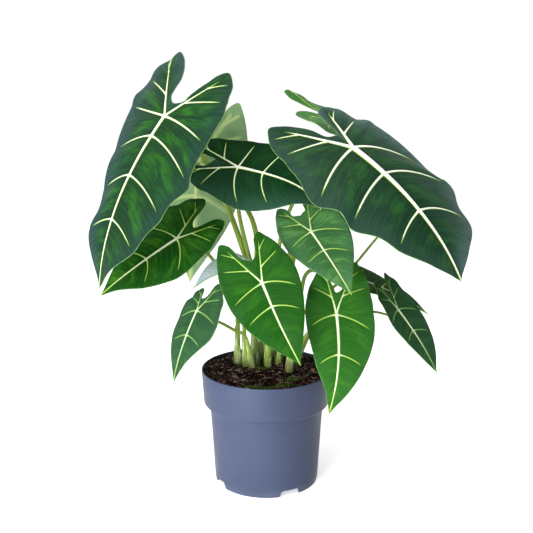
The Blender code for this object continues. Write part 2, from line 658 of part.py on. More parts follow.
def cut(body, cutters):
    """Take the cutters out of a body and remove them."""
    tools = bpy.data.collections.new("cutters")
    bpy.context.scene.collection.children.link(tools)
    for cutter in cutters:
        bpy.context.scene.collection.objects.unlink(cutter)
        tools.objects.link(cutter)
        cutter.hide_render = True
        cutter.display_type = "WIRE"
    boolean = body.modifiers.new("cut", "BOOLEAN")
    boolean.operation = "DIFFERENCE"
    boolean.operand_type = "COLLECTION"
    boolean.collection = tools
    boolean.solver = "EXACT"
    bpy.context.view_layer.update()
    evaluated = body.evaluated_get(bpy.context.evaluated_depsgraph_get())
    result = bpy.data.meshes.new_from_object(evaluated)
    body.modifiers.clear()
    body.data = result
    for cutter in cutters:
        bpy.data.objects.remove(cutter)
    bpy.data.collections.remove(tools)


def prism(name, outline, low, high, place, finish):
    """An upright prism over a flat outline; place maps each of its points into the scene."""
    count = len(outline)
    points = [place(np.array([x, y, z])) for z in (low, high) for x, y in outline]
    faces = [tuple(range(count - 1, -1, -1)), tuple(range(count, 2 * count))]
    for k in range(count):
        m = (k + 1) % count
        faces.append((k, m, m + count, k + count))
    return add_object(name, points, faces, finish)


def pot_inside(clearance):
    """Inner profile of the pot from its floor to just under the lip, pulled in by a clearance."""
    floor = POT_FLOOR_Z + POT_FLOOR + clearance
    inner_foot = POT_FOOT_RADIUS + 1.0 - POT_WALL - clearance
    return [(inner_foot, floor), (POT_WALL_TOP_RADIUS - POT_WALL - clearance, POT_BAND_Z + 0.5),
            (POT_BAND_FOOT_RADIUS - POT_WALL - clearance, POT_BAND_Z + 4.0)]


def build_pot(finish):
    """The pot: a tapered wall, a wide band, a raised floor on a skirt, a hub and four notches."""
    skirt = POT_FOOT_RADIUS - POT_WALL
    inside = pot_inside(0.0)
    profile = [(0.0, 0.0), (POT_HUB_RADIUS, 0.0), (POT_HUB_RADIUS + 0.5, POT_FLOOR_Z),
               (skirt + 0.2, POT_FLOOR_Z), (skirt, 0.0), (POT_FOOT_RADIUS, 0.0),
               (POT_FOOT_RADIUS + 1.0, 4.0), (POT_WALL_TOP_RADIUS, POT_BAND_Z - 2.0),
               (POT_BAND_FOOT_RADIUS - 3.0, POT_BAND_Z), (POT_BAND_FOOT_RADIUS - 0.8, POT_BAND_Z + 1.2),
               (POT_BAND_FOOT_RADIUS, POT_BAND_Z + 4.0), (POT_BAND_TOP_RADIUS, POT_HEIGHT - 1.6),
               (POT_BAND_TOP_RADIUS - 0.4, POT_HEIGHT - 0.2), (POT_BAND_TOP_RADIUS - 1.0, POT_HEIGHT),
               (POT_BAND_TOP_RADIUS - POT_WALL, POT_HEIGHT - 1.0), *reversed(inside),
               (0.0, POT_FLOOR_Z + POT_FLOOR)]
    points, faces = turned(profile, POT_SEGMENTS)
    pot = add_object("pot", points, faces, finish, 35)
    cutters = []
    half, top = NOTCH_WIDTH / 2, NOTCH_HEIGHT
    outline = ((-half - 1.5, -2.0), (half + 1.5, -2.0), (half - 2.5, top - 2.5), (half - 5.0, top),
               (-half + 5.0, top), (-half + 2.5, top - 2.5))
    for number, degrees in enumerate(NOTCH_ANGLES):
        turn = math.radians(degrees - 90.0)
        out = np.array([math.cos(turn), math.sin(turn), 0])
        across = np.array([-math.sin(turn), math.cos(turn), 0])
        cutters.append(prism(f"notch_{number}", outline, skirt - 6.0, POT_FOOT_RADIUS + 8.0,
                             lambda p: across * p[0] + np.array([0, 0, p[1]]) + out * p[2], finish))
        turn += math.pi / 4
        centre = DRAIN_HOLE_CIRCLE * np.array([math.cos(turn), math.sin(turn), 0])
        circle = [(DRAIN_HOLE_RADIUS * math.cos(a), DRAIN_HOLE_RADIUS * math.sin(a))
                  for a in np.arange(12) * math.pi / 6]
        cutters.append(prism(f"drain_{number}", circle, POT_FLOOR_Z - 2, POT_FLOOR_Z + POT_FLOOR + 2,
                             lambda p: p + centre, finish))
    cut(pot, cutters)


def build_mix(finish):
    """The potting mix: it fills the pot, is rough on top and has a plain hole for each stalk."""
    draw = np.random.default_rng(MIX_SEED)
    inside = pot_inside(GAP)
    rim = POT_BAND_TOP_RADIUS - POT_WALL - GAP - 0.4
    bottom = inside[0][1]
    profile = [(0.0, bottom), *inside, (rim, MIX_EDGE_Z)]
    profile += [(radius, MIX_EDGE_Z + 1.5) for radius in MIX_RINGS]
    profile.append((0.0, MIX_EDGE_Z + 2.5))
    points, faces = turned(profile, POT_SEGMENTS)
    first = 1 + (len(inside) + 1) * POT_SEGMENTS
    for point in points[first:]:
        point[2] += draw.uniform(-1.0, 1.0) * MIX_ROUGHNESS
    mix = add_object("potting_mix", points, faces, finish)
    cutters = []
    for leaf in LEAVES:
        radius = (leaf.stalk_radii[0] + GAP + 0.1) / math.cos(math.pi / 12)
        circle = [(leaf.stalk[0][0] + radius * math.cos(a), leaf.stalk[0][1] + radius * math.sin(a))
                  for a in np.arange(12) * math.pi / 6]
        cutters.append(prism(f"hole_{leaf.name}", circle, STALK_FOOT_Z - GAP, STALK_STRAIGHT_Z + 20,
                             lambda p: p, finish))
    cut(mix, cutters)


def build_leaf(leaf, blade_finish, vein_finish, stalk_finish):
    """One leaf as its blade, its vein net and its stalk."""
    sheet = Sheet(leaf)
    underside = sheet.points - sheet.normals * BLADE_THICKNESS
    points, faces = closed_sheet(sheet.points, underside, sheet.triangles)
    add_object(f"{leaf.name}_blade", points, faces, blade_finish, 40)
    points, faces = VeinNet(sheet).solid()
    add_object(f"{leaf.name}_veins", points, faces, vein_finish)
    points, faces = stalk_solid(leaf, sheet)
    add_object(f"{leaf.name}_stalk", points, faces, stalk_finish, 60)


def triangulate(built):
    """Split an object's faces into triangles."""
    work = bmesh.new()
    work.from_mesh(built.data)
    bmesh.ops.triangulate(work, faces=work.faces[:])
    work.to_mesh(built.data)
    work.free()


def main():
    """Clear the scene and build the pot, the mix and the leaves."""
    for old in list(bpy.data.objects):
        bpy.data.objects.remove(old)
    build_pot(material("pot_plastic", POT_BLUE, 0.42))
    build_mix(material("peat_and_coir", MIX_BROWN, 0.95))
    for leaf in LEAVES:
        green = BLADE_BRIGHT if leaf.name in BRIGHT_LEAVES else BLADE_GREEN
        build_leaf(leaf, material(f"{leaf.name}_green", green, 0.55),
                   material(f"{leaf.name}_vein_cream", VEIN_CREAM, 0.55),
                   material(f"{leaf.name}_stalk_green", STALK_GREEN, 0.5))
    for built in list(bpy.context.scene.collection.objects):
        triangulate(built)


if __name__ == "__main__":
    main()
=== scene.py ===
"""The looks of a frydek alocasia in its nursery pot.

The pot's axis is Z, the ground is at Z = 0 and the front of the plant is towards -Y. Lengths are in
millimetres until a mesh is made. The leaves lie where the model's solids lie, and their blades follow
the same outline, drawn here with fine meshes.
"""

import logging
import math
from dataclasses import dataclass
from enum import Enum
from typing import ClassVar

import bmesh
import bpy
import numpy as np
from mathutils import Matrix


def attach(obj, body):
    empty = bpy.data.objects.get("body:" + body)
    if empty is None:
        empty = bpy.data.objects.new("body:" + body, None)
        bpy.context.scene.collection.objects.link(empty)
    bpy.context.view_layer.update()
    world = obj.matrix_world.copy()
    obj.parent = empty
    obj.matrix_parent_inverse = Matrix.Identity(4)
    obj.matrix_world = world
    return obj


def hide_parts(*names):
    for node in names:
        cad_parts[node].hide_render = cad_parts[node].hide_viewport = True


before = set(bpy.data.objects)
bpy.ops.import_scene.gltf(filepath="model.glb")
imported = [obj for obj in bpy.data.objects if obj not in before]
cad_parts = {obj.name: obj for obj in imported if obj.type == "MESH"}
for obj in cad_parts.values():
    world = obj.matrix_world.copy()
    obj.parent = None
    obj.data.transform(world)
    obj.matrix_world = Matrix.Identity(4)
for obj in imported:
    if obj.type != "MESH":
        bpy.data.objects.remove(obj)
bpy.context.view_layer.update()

log = logging.getLogger("alocasia")

Colour = tuple[float, float, float]
Point = tuple[float, float, float]
Pair = tuple[float, float]
Number = float | np.ndarray
Socket = bpy.types.NodeSocket
Object = bpy.types.Object
Material = bpy.types.Material

MM = 0.001
BODY = "root"
SIDES = (-1, 1)
TINY = 1e-6
UP = (0.0, 0.0, 1.0)
WHITE = (1.0, 1.0, 1.0)


def srgb(red: int, green: int, blue: int) -> Colour:
    """Linear colour of a screen colour given in steps of 255.

    Args:
        red: Red step.
        green: Green step.
        blue: Blue step.

    Returns:
        The linear red, green and blue.
    """
    steps = np.array([red, green, blue]) / 255
    linear = np.where(steps <= 0.04045, steps / 12.92, ((steps + 0.055) / 1.055) ** 2.4)
    return tuple(float(part) for part in linear)


def darker(colour: Colour, share: float) -> Colour:
    """A colour of which only a share is left."""
    return tuple(share * part for part in colour)


class Graph:
    """A node tree, built by short calls that hand back sockets."""

    def __init__(self, owner: Material | bpy.types.World) -> None:
        """Open the node tree of its owner."""
        owner.use_nodes = True
        self.owner, self.tree = owner, owner.node_tree

    def feed(self, socket: Socket, value: object) -> None:
        """Link a socket to an input, or set the input's own value.

        Args:
            socket: The input.
            value: A socket to link, or a number, a vector or a colour.
        """
        if isinstance(value, Socket):
            self.tree.links.new(value, socket)
        elif socket.type == "RGBA" and len(value) == 3:
            socket.default_value = (*value, 1.0)
        else:
            socket.default_value = value

    def node(self, kind: str, inputs: dict, **settings: object) -> bpy.types.Node:
        """Add a node.

        Args:
            kind: The node's type, without the word that all types begin with.
            inputs: Value or socket for each input, by name or number.
            **settings: Properties of the node.

        Returns:
            The node.
        """
        made = self.tree.nodes.new(f"ShaderNode{kind}")
        for name, value in settings.items():
            setattr(made, name, value)
        for key, value in inputs.items():
            self.feed(made.inputs[key], value)
        return made

    def place(self, scale: Point = (1.0, 1.0, 1.0)) -> Socket:
        """Position in the object in metres, stretched by a scale along each axis."""
        where = self.node("TexCoord", {}).outputs["Object"]
        return self.node("Mapping", {"Vector": where, "Scale": scale}).outputs[0]

    def chart(self, name: str, scale: Point) -> Socket:
        """Position in a named chart of the surface, stretched by a scale."""
        where = self.node("UVMap", {}, uv_map=name).outputs[0]
        return self.node("Mapping", {"Vector": where, "Scale": scale}).outputs[0]

    def height(self) -> Socket:
        """Height above the ground in metres."""
        return self.node("SeparateXYZ", {0: self.place()}).outputs[2]

    def measure(self, name: str) -> Socket:
        """A number stored at the mesh's points."""
        return self.node("Attribute", {}, attribute_name=name).outputs["Fac"]

    def noise(self, vector: Socket, scale: float = 1.0, detail: float = 3.0, rough: float = 0.55,
              twist: float = 0.0) -> Socket:
        """Cloudy noise.

        Args:
            vector: Where to read it.
            scale: Clouds in a unit of the vector.
            detail: Octaves.
            rough: Share of the finer octaves.
            twist: Distortion.

        Returns:
            The noise's value, about 0.5 on average.
        """
        inputs = {"Vector": vector, "Scale": scale, "Detail": detail, "Roughness": rough,
                  "Distortion": twist}
        return self.node("TexNoise", inputs).outputs["Fac"]

    def net(self, scale: float, width: float) -> Socket:
        """A net of fine furrows.

        Args:
            scale: Meshes of the net in a metre.
            width: Width of a furrow beside that of a mesh.

        Returns:
            0 in a furrow, 1 beside it.
        """
        inputs = {"Vector": self.place(), "Scale": scale}
        cells = self.node("TexVoronoi", inputs, feature="DISTANCE_TO_EDGE")
        return self.span(cells.outputs["Distance"], 0.0, width)

    def nerves(self, vector: Socket) -> Socket:
        """Thin wavering lines across the vector's first axis.

        Args:
            vector: Where to read them.

        Returns:
            1 on a line, 0 away from it.
        """
        inputs = {"Vector": vector, "Scale": 1.0, "Distortion": 2.5, "Detail": 2.0, "Detail Scale": 3.0}
        return self.span(self.node("TexWave", inputs, bands_direction="X").outputs["Fac"], 0.86, 1.0)

    def span(self, value: Socket, low: float, high: float, start: object = 0.0,
             end: object = 1.0) -> Socket:
        """Map a range of a value smoothly to another range.

        Args:
            value: The value.
            low: Where the result is start.
            high: Where the result is end.
            start: Result at low.
            end: Result at high.

        Returns:
            The mapped value.
        """
        inputs = {"Value": value, "From Min": low, "From Max": high, "To Min": start, "To Max": end}
        return self.node("MapRange", inputs, interpolation_type="SMOOTHSTEP").outputs[0]

    def math(self, operation: str, first: object, second: object) -> Socket:
        """Result of an operation on two numbers."""
        return self.node("Math", {0: first, 1: second}, operation=operation).outputs[0]

    def times(self, product: object, *factors: object) -> Socket:
        """Product of numbers.

        Args:
            product: The first number.
            *factors: The others.

        Returns:
            The product.
        """
        for factor in factors:
            product = self.math("MULTIPLY", product, factor)
        return product

    def paint(self, colour: object, *coats: tuple[object, object]) -> Socket:
        """A colour under coats of paint.

        Args:
            colour: The colour that lies lowest.
            *coats: Share and colour of each coat.

        Returns:
            The painted colour.
        """
        for share, coat in coats:
            colour = self.node("Mix", {0: share, 6: colour, 7: coat}, data_type="RGBA").outputs[2]
        return colour

    def relief(self, *layers: tuple[Socket, float, float]) -> Socket:
        """Relief in layers, each laid over the last.

        Args:
            *layers: Height from 0 to 1, depth in metres and strength of each.

        Returns:
            The normal.
        """
        under = {}
        for height, depth, strength in layers:
            inputs = {"Height": height, "Distance": depth, "Strength": strength, **under}
            under = {"Normal": self.node("Bump", inputs).outputs[0]}
        return under["Normal"]


class Shader(Graph):
    """The node tree of a Principled material."""

    def __init__(self, name: str, colour: Colour, roughness: float) -> None:
        """Make the material.

        Args:
            name: Name of the material.
            colour: Its mean colour, which shows where nothing is linked.
            roughness: Its mean roughness.
        """
        super().__init__(bpy.data.materials.new(name))
        self.owner.diffuse_color = (*colour, 1.0)
        self.dress(colour, roughness)

    def dress(self, colour: object = None, roughness: object = None, normal: object = None,
              **constants: object) -> Material:
        """Set inputs of the shader.

        Args:
            colour: Base colour.
            roughness: Roughness.
            normal: Normal.
            **constants: Values for other inputs, with _ for each space.

        Returns:
            The material.
        """
        inputs = {"Base Color": colour, "Roughness": roughness, "Normal": normal}
        inputs |= {name.replace("_", " "): value for name, value in constants.items()}
        for name, value in inputs.items():
            if value is not None:
                self.feed(self.tree.nodes["Principled BSDF"].inputs[name], value)
        return self.owner


class Finish:
    """A finish whose material is made once and then shared."""

    name: str
    shared: ClassVar[dict] = {}

    def material(self) -> Material:
        """The finish as a material."""
        if self.name not in self.shared:
            self.shared[self.name] = self.make()
        return self.shared[self.name]

    def make(self) -> Material:
        """Make the material."""
        raise NotImplementedError


@dataclass(frozen=True)
class LaminaFinish(Finish):
    """Velvety upper side of a blade, streaked along its side veins.

    deep is the green beside the veins and fresh that of the panels between them. The fresh green is
    laid on the panels' crests as a painted highlight of the quilting over real mottling, so that the
    deep green beside the veins is partly painted shade. The third colour is a dull grey-green laid
    towards the margin as a painted sheen. The halo beside the veins has its width in millimetres. The
    scales stretch the textures across and along the side veins.
    """

    name: str
    deep: Colour
    fresh: Colour
    painted_sheen: Colour
    halo: Colour = srgb(104, 148, 44)
    freshness: float = 0.7
    roughness: float = 0.50
    gloss: float = 0.10
    halo_width: float = 0.7
    streak_scale: Point = (0.34, 0.045, 1.0)
    patch_scale: Point = (0.062, 0.024, 1.0)
    nerve_scale: Point = (0.040, 0.003, 1.0)
    painted_sheen_reach: float = 36.0

    def make(self) -> Material:
        """Make the material."""
        graph = Shader(self.name, self.deep, self.roughness)
        streak = graph.noise(graph.chart("rows", self.streak_scale), 1.0, 4.0, 0.68, 0.4)
        patch = graph.noise(graph.chart("rows", self.patch_scale), 1.0, 4.0, 0.60, 0.4)
        nerve = graph.nerves(graph.chart("rows", self.nerve_scale))
        margin, vein = graph.measure("margin"), graph.measure("vein")
        # Painted highlight on the panels' crests, mottled by real patches; the deep green left beside
        # the veins is painted shade.
        crest_light_and_mottle = graph.times(graph.span(graph.measure("panel"), 0.0, 0.75),
                             graph.span(patch, 0.40, 0.68), graph.span(streak, 0.34, 0.62, 0.45, 1.0),
                             self.freshness)
        # Painted sheen: dull grey-green towards the margin, stronger on one half, for the grazing
        # reflection of the white surroundings.
        dull = graph.times(graph.measure("painted_sheen"), graph.span(streak, 0.64, 0.36, 0.5, 1.0),
                           graph.span(margin, self.painted_sheen_reach, 3.0, 0.45, 1.0))
        colour = graph.paint(self.deep, (crest_light_and_mottle, self.fresh), (dull, self.painted_sheen),
                             (graph.span(streak, 0.50, 0.30, 0.0, 0.4), darker(self.deep, 0.5)),
                             (graph.times(nerve, 0.14), self.fresh),
                             (graph.span(margin, 0.8, 0.1, 0.0, 0.5), self.halo),
                             (graph.span(vein, self.halo_width, 0.0, 0.0, 0.85), self.halo))
        furrows = graph.math("SUBTRACT", streak, graph.times(nerve, 0.35))
        relief = graph.relief((furrows, 0.0008, 0.4), (graph.net(420.0, 0.25), 0.00015, 0.25))
        rough = graph.span(streak, 0.3, 0.7, self.roughness - 0.06, self.roughness + 0.08)
        return graph.dress(colour, rough, relief, Specular_IOR_Level=self.gloss, Sheen_Weight=0.015,
                           Sheen_Roughness=0.5)


@dataclass(frozen=True)
class UndersideFinish(Finish):
    """Pale matt underside of a blade."""

    name: str
    pale: Colour
    dark: Colour
    vein: Colour = srgb(178, 198, 132)
    halo_width: float = 3.0
    streak_scale: Point = (1.1, 2.4, 1.0)

    def make(self) -> Material:
        """Make the material."""
        graph = Shader(self.name, self.pale, 0.55)
        streak = graph.noise(graph.chart("rows", self.streak_scale), 1.0, 4.0, 0.6)
        cloud = graph.noise(graph.place(), 30.0, 2.0)
        light = graph.times(graph.span(streak, 0.3, 0.7), graph.span(cloud, 0.3, 0.7))
        beside = graph.span(graph.measure("vein"), self.halo_width, 0.0, 0.0, 0.7)
        colour = graph.paint(self.dark, (light, self.pale), (beside, self.vein))
        relief = graph.relief((graph.net(300.0, 0.3), 0.0002, 0.4))
        return graph.dress(colour, graph.span(streak, 0.2, 0.8, 0.5, 0.62), relief, Sheen_Weight=0.08)


@dataclass(frozen=True)
class MarginFinish(Finish):
    """Thin pale edge round a blade."""

    name: str
    colour: Colour
    dull: Colour

    def make(self) -> Material:
        """Make the material."""
        graph = Shader(self.name, self.colour, 0.5)
        patch = graph.noise(graph.place(), 90.0, 2.0)
        relief = graph.relief((graph.noise(graph.place(), 900.0, 2.0), 0.0001, 0.3))
        colour = graph.paint(self.dull, (graph.span(patch, 0.35, 0.65), self.colour))
        return graph.dress(colour, None, relief)


@dataclass(frozen=True)
class VeinFinish(Finish):
    """Cream vein with yellow-green flanks, which turns green where it runs out.

    cream_until is how far along its fading a vein stays cream.
    """

    name: str
    core: Colour
    flank: Colour
    end: Colour
    cream_until: float = 0.9

    def make(self) -> Material:
        """Make the material."""
        graph = Shader(self.name, self.core, 0.5)
        fade = graph.measure("fade")
        grain = graph.noise(graph.place(), 700.0)
        colour = graph.paint(self.core, (graph.span(graph.measure("rim"), 0.60, 0.15), self.flank),
                             (graph.span(fade, self.cream_until - 0.5, self.cream_until), self.flank),
                             (graph.span(fade, 0.80, 1.0, 0.0, 0.8), self.end),
                             (graph.span(grain, 0.50, 0.8, 0.0, 0.35), self.flank))
        relief = graph.relief((grain, 0.0002, 0.35))
        rough = graph.span(grain, 0.3, 0.7, 0.46, 0.60)
        return graph.dress(colour, rough, relief, Specular_IOR_Level=0.25)


@dataclass(frozen=True)
class StalkFinish(Finish):
    """Ribbed fleshy stalk, pale and blotched where it leaves the mix, with painted shade darkening its
    very foot.

    The heights are in metres above the ground.
    """

    name: str
    green: Colour
    shade: Colour
    pale: Colour
    blush: Colour
    pale_from: float = 0.160
    pale_until: float = 0.205
    painted_shade_from: float = 0.150
    painted_shade_until: float = 0.172
    rib_scale: Point = (26.0, 0.035, 1.0)

    def make(self) -> Material:
        """Make the material."""
        graph = Shader(self.name, self.green, 0.42)
        ribs = graph.noise(graph.chart("round", self.rib_scale), 1.0, 3.0, 0.6)
        cloud = graph.noise(graph.place((1.0, 1.0, 0.35)), 70.0)
        blotch = graph.noise(graph.place((1.0, 1.0, 0.5)), 130.0)
        base = graph.span(graph.height(), self.pale_until, self.pale_from)
        colour = graph.paint(self.green, (graph.span(ribs, 0.40, 0.66, 0.0, 0.75), self.shade),
                             (graph.span(cloud, 0.52, 0.74, 0.0, 0.35), self.blush),
                             (graph.times(base, graph.span(ribs, 0.50, 0.64, 0.0, 0.85)), self.pale),
                             (graph.times(base, graph.span(blotch, 0.54, 0.66, 0.0, 0.7)), self.blush),
                             # Painted shade: darker towards the very foot, where the stalks crowd
                             # together.
                             (graph.span(graph.height(), self.painted_shade_until, self.painted_shade_from, 0.0, 0.75),
                              darker(self.blush, 0.35)))
        grain = graph.noise(graph.place(), 900.0, 2.0)
        relief = graph.relief((ribs, 0.0006, 0.5), (grain, 0.0001, 0.3))
        rough = graph.span(cloud, 0.3, 0.7, 0.36, 0.52)
        return graph.dress(colour, rough, relief, Specular_IOR_Level=0.35)


@dataclass(frozen=True)
class PotFinish(Finish):
    """Semi-gloss moulded plastic with a faint grain, scuffs and dust near the foot."""

    name: str = "pot_moulded_plastic"
    colour: Colour = srgb(48, 55, 76)
    lighter: Colour = srgb(52, 60, 82)
    scuff: Colour = srgb(72, 80, 102)
    dust: Colour = srgb(84, 88, 104)
    dust_until: float = 0.018
    flow_scale: Point = (9.0, 9.0, 60.0)
    scratch_scale: Point = (60.0, 60.0, 900.0)

    def make(self) -> Material:
        """Make the material."""
        graph = Shader(self.name, self.colour, 0.38)
        cloud = graph.noise(graph.place(), 14.0)
        flow = graph.noise(graph.place(self.flow_scale), 1.0, 4.0, 0.6)
        grain = graph.noise(graph.place(), 2600.0, 2.0)
        scratch = graph.noise(graph.place(self.scratch_scale), 1.0, 2.0, 0.5, 0.8)
        marks = graph.times(graph.span(scratch, 0.68, 0.80), graph.span(cloud, 0.45, 0.65))
        foot = graph.span(graph.height(), self.dust_until, 0.0, 0.0, 0.35)
        colour = graph.paint(self.colour, (graph.span(cloud, 0.35, 0.65, 0.0, 0.6), self.lighter),
                             (graph.span(flow, 0.58, 0.80, 0.0, 0.25), self.scuff),
                             (graph.times(marks, 0.35), self.scuff),
                             (graph.times(foot, graph.span(flow, 0.35, 0.65)), self.dust))
        rough = graph.math("ADD", graph.span(cloud, 0.3, 0.7, 0.38, 0.50), graph.times(marks, 0.15))
        relief = graph.relief((flow, 0.0004, 0.12), (grain, 0.00006, 0.35))
        return graph.dress(colour, rough, relief, Specular_IOR_Level=0.16)


@dataclass(frozen=True)
class CrumbFinish(Finish):
    """Damp crumbly matter in several browns. Each body's tint, 0 to 1, goes from dark to light."""

    name: str
    dark: Colour
    light: Colour
    fleck: Colour
    flecks: float = 0.25
    roughness: float = 0.85

    def make(self) -> Material:
        """Make the material."""
        graph = Shader(self.name, self.dark, self.roughness)
        clod = graph.noise(graph.place(), 160.0, 4.0, 0.65)
        crumb = graph.noise(graph.place(), 900.0, 3.0, 0.6)
        light = graph.times(graph.measure("tint"), graph.span(clod, 0.36, 0.64, 0.12, 1.0))
        colour = graph.paint(self.dark, (light, self.light),
                             (graph.span(crumb, 0.60, 0.72, 0.0, self.flecks), self.fleck))
        relief = graph.relief((clod, 0.0015, 0.7), (crumb, 0.0004, 0.8))
        rough = graph.span(crumb, 0.3, 0.7, self.roughness - 0.18, self.roughness + 0.08)
        return graph.dress(colour, rough, relief, Specular_IOR_Level=0.04)


@dataclass(frozen=True)
class PaperFinish(Finish):
    """Seamless pale floor of the studio."""

    name: str = "studio_floor"
    colour: Colour = (0.92, 0.92, 0.92)
    glow: float = 0.50

    def make(self) -> Material:
        """Make the material."""
        graph = Shader(self.name, self.colour, 0.9)
        return graph.dress(Specular_IOR_Level=0.1, Emission_Color=WHITE, Emission_Strength=self.glow)


UNDERSIDE = UndersideFinish("blade_underside", srgb(136, 166, 116), srgb(90, 128, 76))
MARGIN = MarginFinish("blade_margin", srgb(130, 160, 108), srgb(72, 112, 66))
CREAM_VEIN = VeinFinish("vein_cream_ridge", srgb(226, 224, 220), srgb(158, 176, 84),
                        srgb(96, 132, 60), 1.3)
GREEN_VEIN = VeinFinish("vein_green_ridge", srgb(220, 222, 208), srgb(150, 180, 80),
                        srgb(70, 122, 42), 0.5)
FAINT_VEIN = VeinFinish("vein_faint_ridge", srgb(206, 214, 188), srgb(104, 134, 80),
                        srgb(58, 96, 56), 0.45)
UNDER_VEIN = VeinFinish("vein_underside_ridge", srgb(180, 194, 136), srgb(150, 174, 100),
                        srgb(118, 148, 86))
STALK = StalkFinish("stalk_olive", srgb(122, 146, 50), srgb(82, 112, 28), srgb(178, 188, 126),
                    srgb(98, 98, 44))
SHEATH = StalkFinish("sheath_pale", srgb(112, 140, 40), srgb(58, 90, 18), srgb(220, 222, 196),
                     srgb(84, 76, 34))


class Tone(Enum):
    """Greens of the leaves, each with the finish of a blade's upper side and that of its veins."""

    DEEP = LaminaFinish("lamina_deep", srgb(7, 42, 21), srgb(34, 86, 26), srgb(70, 96, 92)), CREAM_VEIN
    LIVELY = LaminaFinish("lamina_lively", srgb(5, 43, 15), srgb(38, 100, 8), srgb(42, 64, 72),
                          freshness=0.75), CREAM_VEIN
    DUSK = LaminaFinish("lamina_dusk", srgb(3, 40, 14), srgb(22, 68, 24), srgb(44, 76, 62),
                        freshness=0.6, gloss=0.04, roughness=0.65), CREAM_VEIN
    SHADY = LaminaFinish("lamina_shady", srgb(10, 62, 6), srgb(70, 132, 24), srgb(36, 80, 34),
                         gloss=0.05), GREEN_VEIN
    BRIGHT = LaminaFinish("lamina_bright", srgb(14, 66, 4), srgb(38, 96, 6), srgb(28, 74, 24),
                          halo=srgb(90, 136, 36), freshness=0.8), GREEN_VEIN
    # Painted light: a lighter copy of the bright green, for a leaf that lies partly in the shadow of
    # the leaves in front of it.
    BRIGHT_PAINTED_LIGHT = LaminaFinish("lamina_bright_painted_light", srgb(32, 84, 22), srgb(58, 116, 30), srgb(50, 98, 46),
                         gloss=0.06), GREEN_VEIN
    TENDER = LaminaFinish("lamina_tender", srgb(46, 90, 46), srgb(94, 146, 76), srgb(76, 116, 84),
                          halo=srgb(100, 140, 60), freshness=0.8), GREEN_VEIN
    SOFT = LaminaFinish("lamina_soft", srgb(28, 64, 34), srgb(48, 88, 42), srgb(46, 74, 58)), FAINT_VEIN
    FRESH = LaminaFinish("lamina_fresh", srgb(46, 106, 22), srgb(86, 134, 58), srgb(84, 124, 90),
                         halo=srgb(120, 150, 70)), GREEN_VEIN
    # Painted reflection: a pale blue-grey blade that stands in for a leaf seen at a grazing angle,
    # which mirrors the white surroundings.
    PAINTED_REFLECTION = LaminaFinish("lamina_painted_reflection", srgb(146, 162, 168), srgb(176, 192, 200),
                          srgb(166, 182, 192), halo=srgb(180, 198, 196), gloss=0.4), FAINT_VEIN

    def __init__(self, lamina: LaminaFinish, vein: VeinFinish) -> None:
        """Name the two finishes."""
        self.lamina, self.vein = lamina, vein


def unit(vectors: np.ndarray) -> np.ndarray:
    """The vectors at length one."""
    vectors = np.asarray(vectors, float)
    return vectors / np.maximum(np.linalg.norm(vectors, axis=-1, keepdims=True), 1e-12)


def reach(points: np.ndarray) -> np.ndarray:
    """Length of a path from its start to each of its points."""
    return np.concatenate([[0.0], np.cumsum(np.linalg.norm(np.diff(points, axis=0), axis=1))])


def circle(count: int) -> np.ndarray:
    """Even angles round a circle."""
    return np.arange(count) * 2 * math.pi / count


def clamp(value: float) -> float:
    """The value kept between 0 and 1."""
    return min(1.0, max(0.0, value))


def gap_at(stations: tuple, place: float) -> tuple[int, float]:
    """Which gap between stations holds a place, and the place's share of the gap."""
    k = int(np.clip(np.searchsorted(stations, place) - 1, 0, len(stations) - 2))
    return k, (place - stations[k]) / (stations[k + 1] - stations[k])


def hermite(start: Number, end: Number, t: Number, out: Number = 0.0, into: Number = 0.0) -> Number:
    """A cubic between two values.

    Args:
        start: Value at 0.
        end: Value at 1.
        t: Where it is read.
        out: Slope at 0.
        into: Slope at 1.

    Returns:
        The value at t.
    """
    bend = out * t * (1 - t) ** 2 - into * t * t * (1 - t)
    return start + (end - start) * t * t * (3 - 2 * t) + bend


def smooth_path(points: list, count: int) -> np.ndarray:
    """Even points on a smooth curve through a short list.

    Args:
        points: The list.
        count: How many points to give.

    Returns:
        The points, one a row.
    """
    points = np.asarray(points, float)
    padded = np.vstack([2 * points[0] - points[1], points, 2 * points[-1] - points[-2]])
    t = np.linspace(0, 1, 24, endpoint=False)[:, None]
    dense = []
    for k in range(1, len(padded) - 2):
        a, b, c, d = padded[k - 1:k + 3]
        dense.append(0.5 * (2 * b + (c - a) * t + (2 * a - 5 * b + 4 * c - d) * t ** 2
                            + (3 * b - a - 3 * c + d) * t ** 3))
    dense = np.vstack([*dense, padded[-2:-1]])
    lengths = reach(dense)
    wanted = np.linspace(0, lengths[-1], count)
    return np.stack([np.interp(wanted, lengths, dense[:, k]) for k in range(points.shape[1])], -1)


def arc(centre: Pair, radius: float, start: float, end: float, count: int = 6) -> list:
    """Points of an arc in a plane.

    Args:
        centre: Its centre.
        radius: Its radius.
        start: First angle in degrees.
        end: Last angle in degrees.
        count: Points, both ends included.

    Returns:
        The points.
    """
    angles = np.radians(np.linspace(start, end, count))
    return [(centre[0] + radius * math.cos(a), centre[1] + radius * math.sin(a)) for a in angles]


def ring_points(radius: Number, angles: np.ndarray, z: float) -> np.ndarray:
    """Points of a level ring round the axis."""
    return np.stack([radius * np.cos(angles), radius * np.sin(angles), 0 * angles + z], -1)


